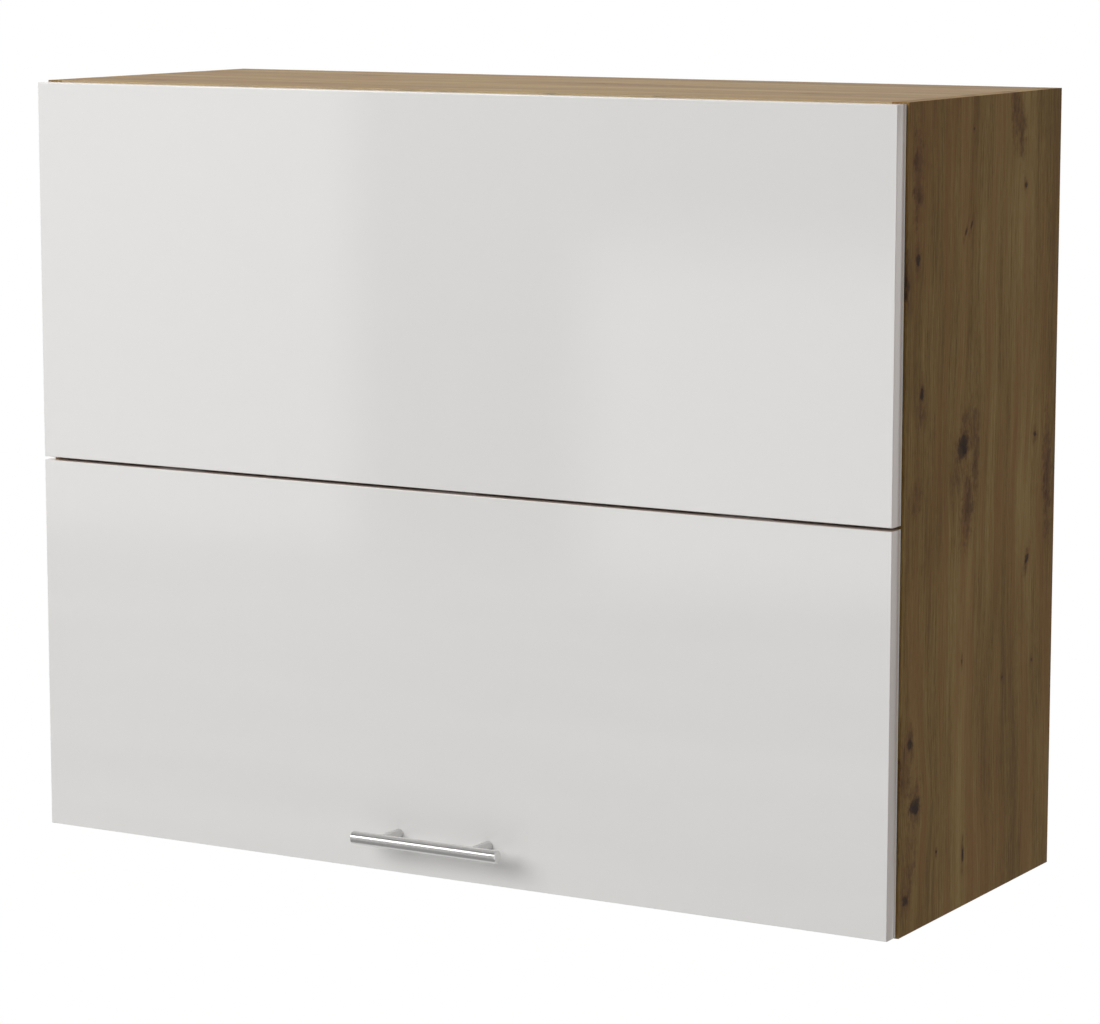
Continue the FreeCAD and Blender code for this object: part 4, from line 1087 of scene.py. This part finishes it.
@dataclass
class FrontBand(Assembly):
    """The glossy edging round one front, with rounded outer corners."""

    front: str
    body: str
    thickness: float = 1.0 * MM
    radius: float = 0.7 * MM
    rear_radius: float = 0.25 * MM
    steps: int = 4
    smooth_below: float = math.radians(60.0)

    def section(self) -> list[Pair]:
        """Work out the band's outline.

        Returns:
            Its points, each a distance in from the outer edge and a depth from the face.
        """
        low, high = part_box(f"{self.front}_edging")
        depth = high[1] - low[1]
        points, rear = [], []
        for step in range(self.steps + 1):
            turn = math.radians(90.0) * step / self.steps
            away, down = 1.0 - math.sin(turn), 1.0 - math.cos(turn)
            points.append((self.radius * away, self.radius * down))
            rear.insert(0, (self.rear_radius * away, depth - self.rear_radius * down))
        return [(self.thickness, 0.0), *points, *rear, (self.thickness, depth)]

    def build(self) -> None:
        """Sweep the outline round the front and put it in the edging's place."""
        low, high = (Vector(corner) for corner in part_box(f"{self.front}_edging"))
        outline = self.section()
        mesh = bpy.data.meshes.new(f"{self.front}_band")
        shape = bmesh.new()
        rings = []
        for inset, depth in outline:
            corners = (
                (low.x + inset, low.z + inset), (high.x - inset, low.z + inset),
                (high.x - inset, high.z - inset), (low.x + inset, high.z - inset),
            )
            rings.append([shape.verts.new((x, low.y + depth, z)) for x, z in corners])
        for ring, following in zip(rings, rings[1:] + rings[:1]):
            for index, vertex in enumerate(ring):
                after = (index + 1) % len(ring)
                shape.faces.new((vertex, ring[after], following[after], following[index]))
        bmesh.ops.recalc_face_normals(shape, faces=shape.faces)
        shape.to_mesh(mesh)
        shape.free()
        for face in mesh.polygons:
            face.use_smooth = True
        mesh.set_sharp_from_angle(angle=self.smooth_below)
        piece = add_piece(f"{self.front}_band", mesh, self.finishes.band, self.body)
        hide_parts(f"{self.front}_edging")


@dataclass
class FoldingFront(Assembly):
    """The two glossy fronts with their edging and the bumpers behind them."""

    def build(self) -> None:
        """Dress the boards and build their edging."""
        for front, body in (("upper_front", "upper_flap"), ("lower_front", "lower_flap")):
            self.dress(front, self.finishes.gloss)
            FrontBand(self.frame, self.finishes, front, body).build()
        self.dress("bumpers", self.finishes.silicone)


@dataclass
class Handle(Assembly):
    """The bar handle on its two posts."""

    def build(self) -> None:
        """Dress the handle."""
        self.dress("handle_bar", self.finishes.satin_bar)
        self.dress("handle_posts", self.finishes.satin_post)
        self.dress("handle_screws", self.finishes.screw_steel)


@dataclass
class LiftMechanism(Assembly):
    """Units, arms, rollers and slotted brackets of the lift-up front."""

    steel_edge: float = 0.25 * MM
    cover_edge: float = 0.5 * MM

    def build(self) -> None:
        """Dress the lift parts."""
        for side in SIDES:
            for node in ("lift_unit", "lift_arm", "arm_rod", "arm_bracket"):
                self.dress(f"{node}_{side}", self.finishes.plated_steel, self.steel_edge)
            self.dress(f"lift_cover_{side}", self.finishes.grey_plastic, self.cover_edge)
            self.dress(f"arm_roller_{side}", self.finishes.screw_steel)
            self.dress(f"clamp_screws_{side}", self.finishes.screw_steel)
        self.dress("lift_pivots", self.finishes.screw_steel)
        self.dress("spring_packs", self.finishes.spring_steel)


@dataclass
class Screen:
    """An evenly glowing screen that shows only in reflections, square to the cabinet."""

    name: str
    low: Triple
    high: Triple
    level: float

    def corners(self) -> list[Triple]:
        """Work out the corners, in order round the screen.

        Returns:
            The four corners.
        """
        along = 1 if self.low[0] == self.high[0] else 0
        second, fourth = list(self.low), list(self.high)
        second[along], fourth[along] = self.high[along], self.low[along]
        return [self.low, tuple(second), self.high, tuple(fourth)]

    def strength(self, sketch: Sketch, place: Socket) -> object:
        """Return the strength of the glow, which is the same all over a plain screen."""
        return self.level

    def build(self) -> None:
        """Stand the screen."""
        mesh = bpy.data.meshes.new(self.name)
        mesh.from_pydata(self.corners(), [], [(0, 1, 2, 3)])
        screen = bpy.data.objects.new(self.name, mesh)
        bpy.context.scene.collection.objects.link(screen)
        material, sketch, _, place = open_material(self.name)
        glow = sketch.add("ShaderNodeEmission")
        sketch.fill(glow, Strength=self.strength(sketch, place))
        sketch.fill(sketch.tree.nodes["Material Output"], Surface=glow.outputs[0])
        mesh.materials.append(material)
        for way in ("visible_camera", "visible_diffuse", "visible_shadow", "visible_transmission"):
            setattr(screen, way, False)
        LOG.info("stood %s", self.name)


@dataclass
class FrontScreen(Screen):
    """The tall screen at the front left, which gives the closed fronts their soft zones of light.

    Each pair is where a soft edge begins and where it ends.
    """

    lines_top: Pair = (-0.36, -0.20)
    line_scale: Triple = (1.2, 1.0, 15.0)
    line_levels: Span = (0.35, 0.65, 0.36, 0.64)
    glow: float = 0.95
    left_glow: Pair = (-1.96, -2.12)
    right_glow: Pair = (-1.66, -1.46)
    right_glow_top: Pair = (0.42, 0.20)
    band_low: Pair = (1.34, 1.46)
    band_high: Pair = (2.74, 2.62)
    band_level: float = 3.4
    white_from: Pair = (-0.9, 0.35)

    def strength(self, sketch: Sketch, place: Socket) -> Socket:
        """Work out the glow: level lines below, two brighter zones above, and a bright band at the top.

        Args:
            sketch: The material's sketch.
            place: The place on the screen.

        Returns:
            The strength of the glow.
        """
        x, _, z = sketch.split(place)
        lines = sketch.noise(sketch.vector("MULTIPLY", place, self.line_scale), 1.0, 2.0)
        left = sketch.ease(x, *self.left_glow)
        right = sketch.product(sketch.ease(x, *self.right_glow), sketch.ease(z, *self.right_glow_top))
        zones = sketch.total(self.level, sketch.product(left, self.glow), sketch.product(right, self.glow))
        mixed = sketch.blend(sketch.ease(z, *self.lines_top), sketch.spread(lines, *self.line_levels),
                             zones, MixKind.NUMBER)
        band = sketch.product(sketch.ease(z, *self.band_low), sketch.ease(z, *self.band_high))
        level = sketch.total(mixed, sketch.product(band, self.band_level))
        side = sketch.ease(x, *self.white_from)
        return sketch.total(sketch.product(level, sketch.less(1.0, side)), side)


@dataclass
class OverheadScreen(Screen):
    """The level screen above, darker towards the front."""

    front: Pair = (-1.9, -1.4)
    front_level: float = 0.16

    def strength(self, sketch: Sketch, place: Socket) -> Socket:
        """Return the glow's strength, which grows to the rear."""
        _, y, _ = sketch.split(place)
        return sketch.spread(y, *self.front, self.front_level, self.level, smooth=True)


@dataclass
class SideScreen(Screen):
    """The dark screen at the right with a bright patch, which the edging of the fronts mirrors.

    Each pair is where a soft edge begins and where it ends.
    """

    patch_near: Pair = (1.6, 2.6)
    patch_far: Pair = (4.9, 4.4)
    patch_top: Pair = (0.62, 0.42)
    patch_levels: Span = (-0.8, 0.40, 0.40, 1.25)
    white_near: Pair = (1.3, 0.3)
    white_above: Pair = (0.75, 1.25)
    white_level: float = 0.8

    def strength(self, sketch: Sketch, place: Socket) -> Socket:
        """Work out the glow: the patch, and a paler screen near the front and higher up.

        Args:
            sketch: The material's sketch.
            place: The place on the screen.

        Returns:
            The strength of the glow.
        """
        _, y, z = sketch.split(place)
        patch = sketch.product(sketch.ease(y, *self.patch_near), sketch.ease(y, *self.patch_far),
                               sketch.ease(z, *self.patch_top), sketch.spread(z, *self.patch_levels))
        pale = sketch.math("MAXIMUM", sketch.ease(y, *self.white_near), sketch.ease(z, *self.white_above))
        return sketch.total(patch, sketch.spread(pale, 0.0, 1.0, self.level, self.white_level))


@dataclass
class Lamp:
    """One soft rectangular lamp, which shows in no reflection."""

    name: str
    place: Triple
    aim: Triple
    size: Pair
    power: float
    tint: Triple = (1.0, 1.0, 1.0)

    def build(self) -> None:
        """Hang the lamp."""
        light = bpy.data.lights.new(self.name, "AREA")
        light.shape = "RECTANGLE"
        light.size, light.size_y = self.size
        light.energy = self.power
        light.color = self.tint
        holder = bpy.data.objects.new(self.name, light)
        holder.location = self.place
        holder.visible_glossy = False
        way = Vector(self.aim) - Vector(self.place)
        holder.rotation_euler = way.to_track_quat("-Z", "Y").to_euler()
        bpy.context.scene.collection.objects.link(holder)
        LOG.info("hung %s", self.name)


@dataclass
class Studio:
    """Pale floor, soft lamps, even surroundings, soft screens for reflections and the camera."""

    floor_z: float = -1.4
    floor_half: float = 30.0
    floor_colour: Colour = (0.80, 0.80, 0.79, 1.0)
    floor_fade: Span = (1.6, 4.0, 0.5, 1.0)
    floor_rough: float = 0.85
    floor_gleam: float = 0.1
    ambient: float = 0.30
    turn: float = 30.228
    rise: float = 8.621
    distance: float = 3.6954
    target: Triple = (0.0150, -0.1760, 0.3206)
    lens: float = 128.75
    sensor: float = 36.0
    sight: float = 100.0

    def build(self) -> None:
        """Set up the whole studio."""
        bpy.context.scene.view_settings.view_transform = "Standard"
        self.build_world()
        self.build_floor()
        FrontScreen("front_screen", (-4.6, -3.33, -1.35), (0.4, -3.33, 3.10), 0.28).build()
        OverheadScreen("overhead_screen", (-4.0, -3.3, 3.2), (4.0, 1.5, 3.2), 0.5).build()
        Screen("floor_screen", (-4.5, -3.3, -1.385), (2.4, -0.45, -1.385), 0.36).build()
        SideScreen("side_screen", (2.5, -1.5, -1.39), (2.5, 9.0, 2.6), 0.05).build()
        Lamp("key_lamp", (-2.3, -6.1, 3.3), (0.2, -0.3, 0.36), (5.2, 3.2), 280.0).build()
        Lamp("top_lamp", (-0.9, -0.1, 3.0), (-0.1, -0.1, 0.7), (1.8, 1.8), 34.0, (0.91, 1.0, 1.07)).build()
        self.build_camera()
        LOG.info("studio is ready")

    def build_world(self) -> None:
        """Light the object evenly and show white to the camera and in reflections."""
        world = bpy.data.worlds.new("studio_world")
        world.use_nodes = True
        bpy.context.scene.world = world
        sketch = Sketch(world.node_tree)
        shader = world.node_tree.nodes["Background"]
        seen = sketch.add("ShaderNodeLightPath")
        white = sketch.math("MAXIMUM", seen.outputs["Is Camera Ray"], seen.outputs["Is Glossy Ray"])
        white = sketch.math("MAXIMUM", white, seen.outputs["Is Transmission Ray"])
        strength = sketch.spread(white, 0.0, 1.0, self.ambient, 1.0)
        sketch.fill(shader, Color=(1.0, 1.0, 1.0, 1.0), Strength=strength)

    def build_floor(self) -> None:
        """Lay a pale floor that fades to white away from the object and is clear from below."""
        mesh = bpy.data.meshes.new("floor")
        half = self.floor_half
        corners = [(-half, -half, self.floor_z), (half, -half, self.floor_z),
                   (half, half, self.floor_z), (-half, half, self.floor_z)]
        mesh.from_pydata(corners, [], [(0, 1, 2, 3)])
        floor = bpy.data.objects.new("floor", mesh)
        bpy.context.scene.collection.objects.link(floor)
        material, sketch, shader, place = open_material("pale_floor")
        sketch.fill(shader, Base_Color=self.floor_colour, Roughness=self.floor_rough,
                    Specular_IOR_Level=self.floor_gleam)
        x, y, _ = sketch.split(place)
        far = sketch.spread(sketch.length(x, y), *self.floor_fade, smooth=True)
        seen = sketch.add("ShaderNodeLightPath")
        straight = sketch.math("MAXIMUM", seen.outputs["Is Camera Ray"], seen.outputs["Is Glossy Ray"])
        white = sketch.add("ShaderNodeEmission")
        faded = self.mix(sketch, sketch.product(far, straight), shader, white)
        clear = sketch.add("ShaderNodeBsdfTransparent")
        below = sketch.add("ShaderNodeNewGeometry").outputs["Backfacing"]
        one_sided = self.mix(sketch, below, faded, clear)
        sketch.fill(sketch.tree.nodes["Material Output"], Surface=one_sided.outputs[0])
        mesh.materials.append(material)
        LOG.info("laid floor")

    @staticmethod
    def mix(sketch: Sketch, share: Socket, first: bpy.types.Node, second: bpy.types.Node) -> bpy.types.Node:
        """Mix two shaders.

        Args:
            sketch: The material's sketch.
            share: Share of the second shader.
            first: The first shader.
            second: The second shader.

        Returns:
            The mixing node.
        """
        node = sketch.add("ShaderNodeMixShader")
        sketch.line_up(node, share, first.outputs[0], second.outputs[0])
        return node

    def build_camera(self) -> None:
        """Place the camera at the photograph's viewing angle."""
        data = bpy.data.cameras.new("camera")
        data.lens = self.lens
        data.sensor_width = self.sensor
        data.sensor_fit = "HORIZONTAL"
        data.clip_end = self.sight
        camera = bpy.data.objects.new("camera", data)
        turn, rise = math.radians(self.turn), math.radians(self.rise)
        back = Vector((math.sin(turn) * math.cos(rise), -math.cos(turn) * math.cos(rise), math.sin(rise)))
        right = Vector((math.cos(turn), math.sin(turn), 0.0))
        up = back.cross(right)
        place = Vector(self.target) + back * self.distance
        camera.matrix_world = Matrix.Translation(place) @ Matrix((right, up, back)).transposed().to_4x4()
        bpy.context.scene.collection.objects.link(camera)
        bpy.context.scene.camera = camera


def main() -> None:
    """Build the cabinet's looks in order."""
    logging.basicConfig(level=logging.INFO, format="%(name)s: %(message)s")
    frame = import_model()
    finishes = Finishes(Effects())
    for assembly in (Carcass, WallHanging, Hinges, FoldingFront, Handle, LiftMechanism):
        assembly(frame, finishes).build()
    Studio().build()


if __name__ == "__main__":
    main()
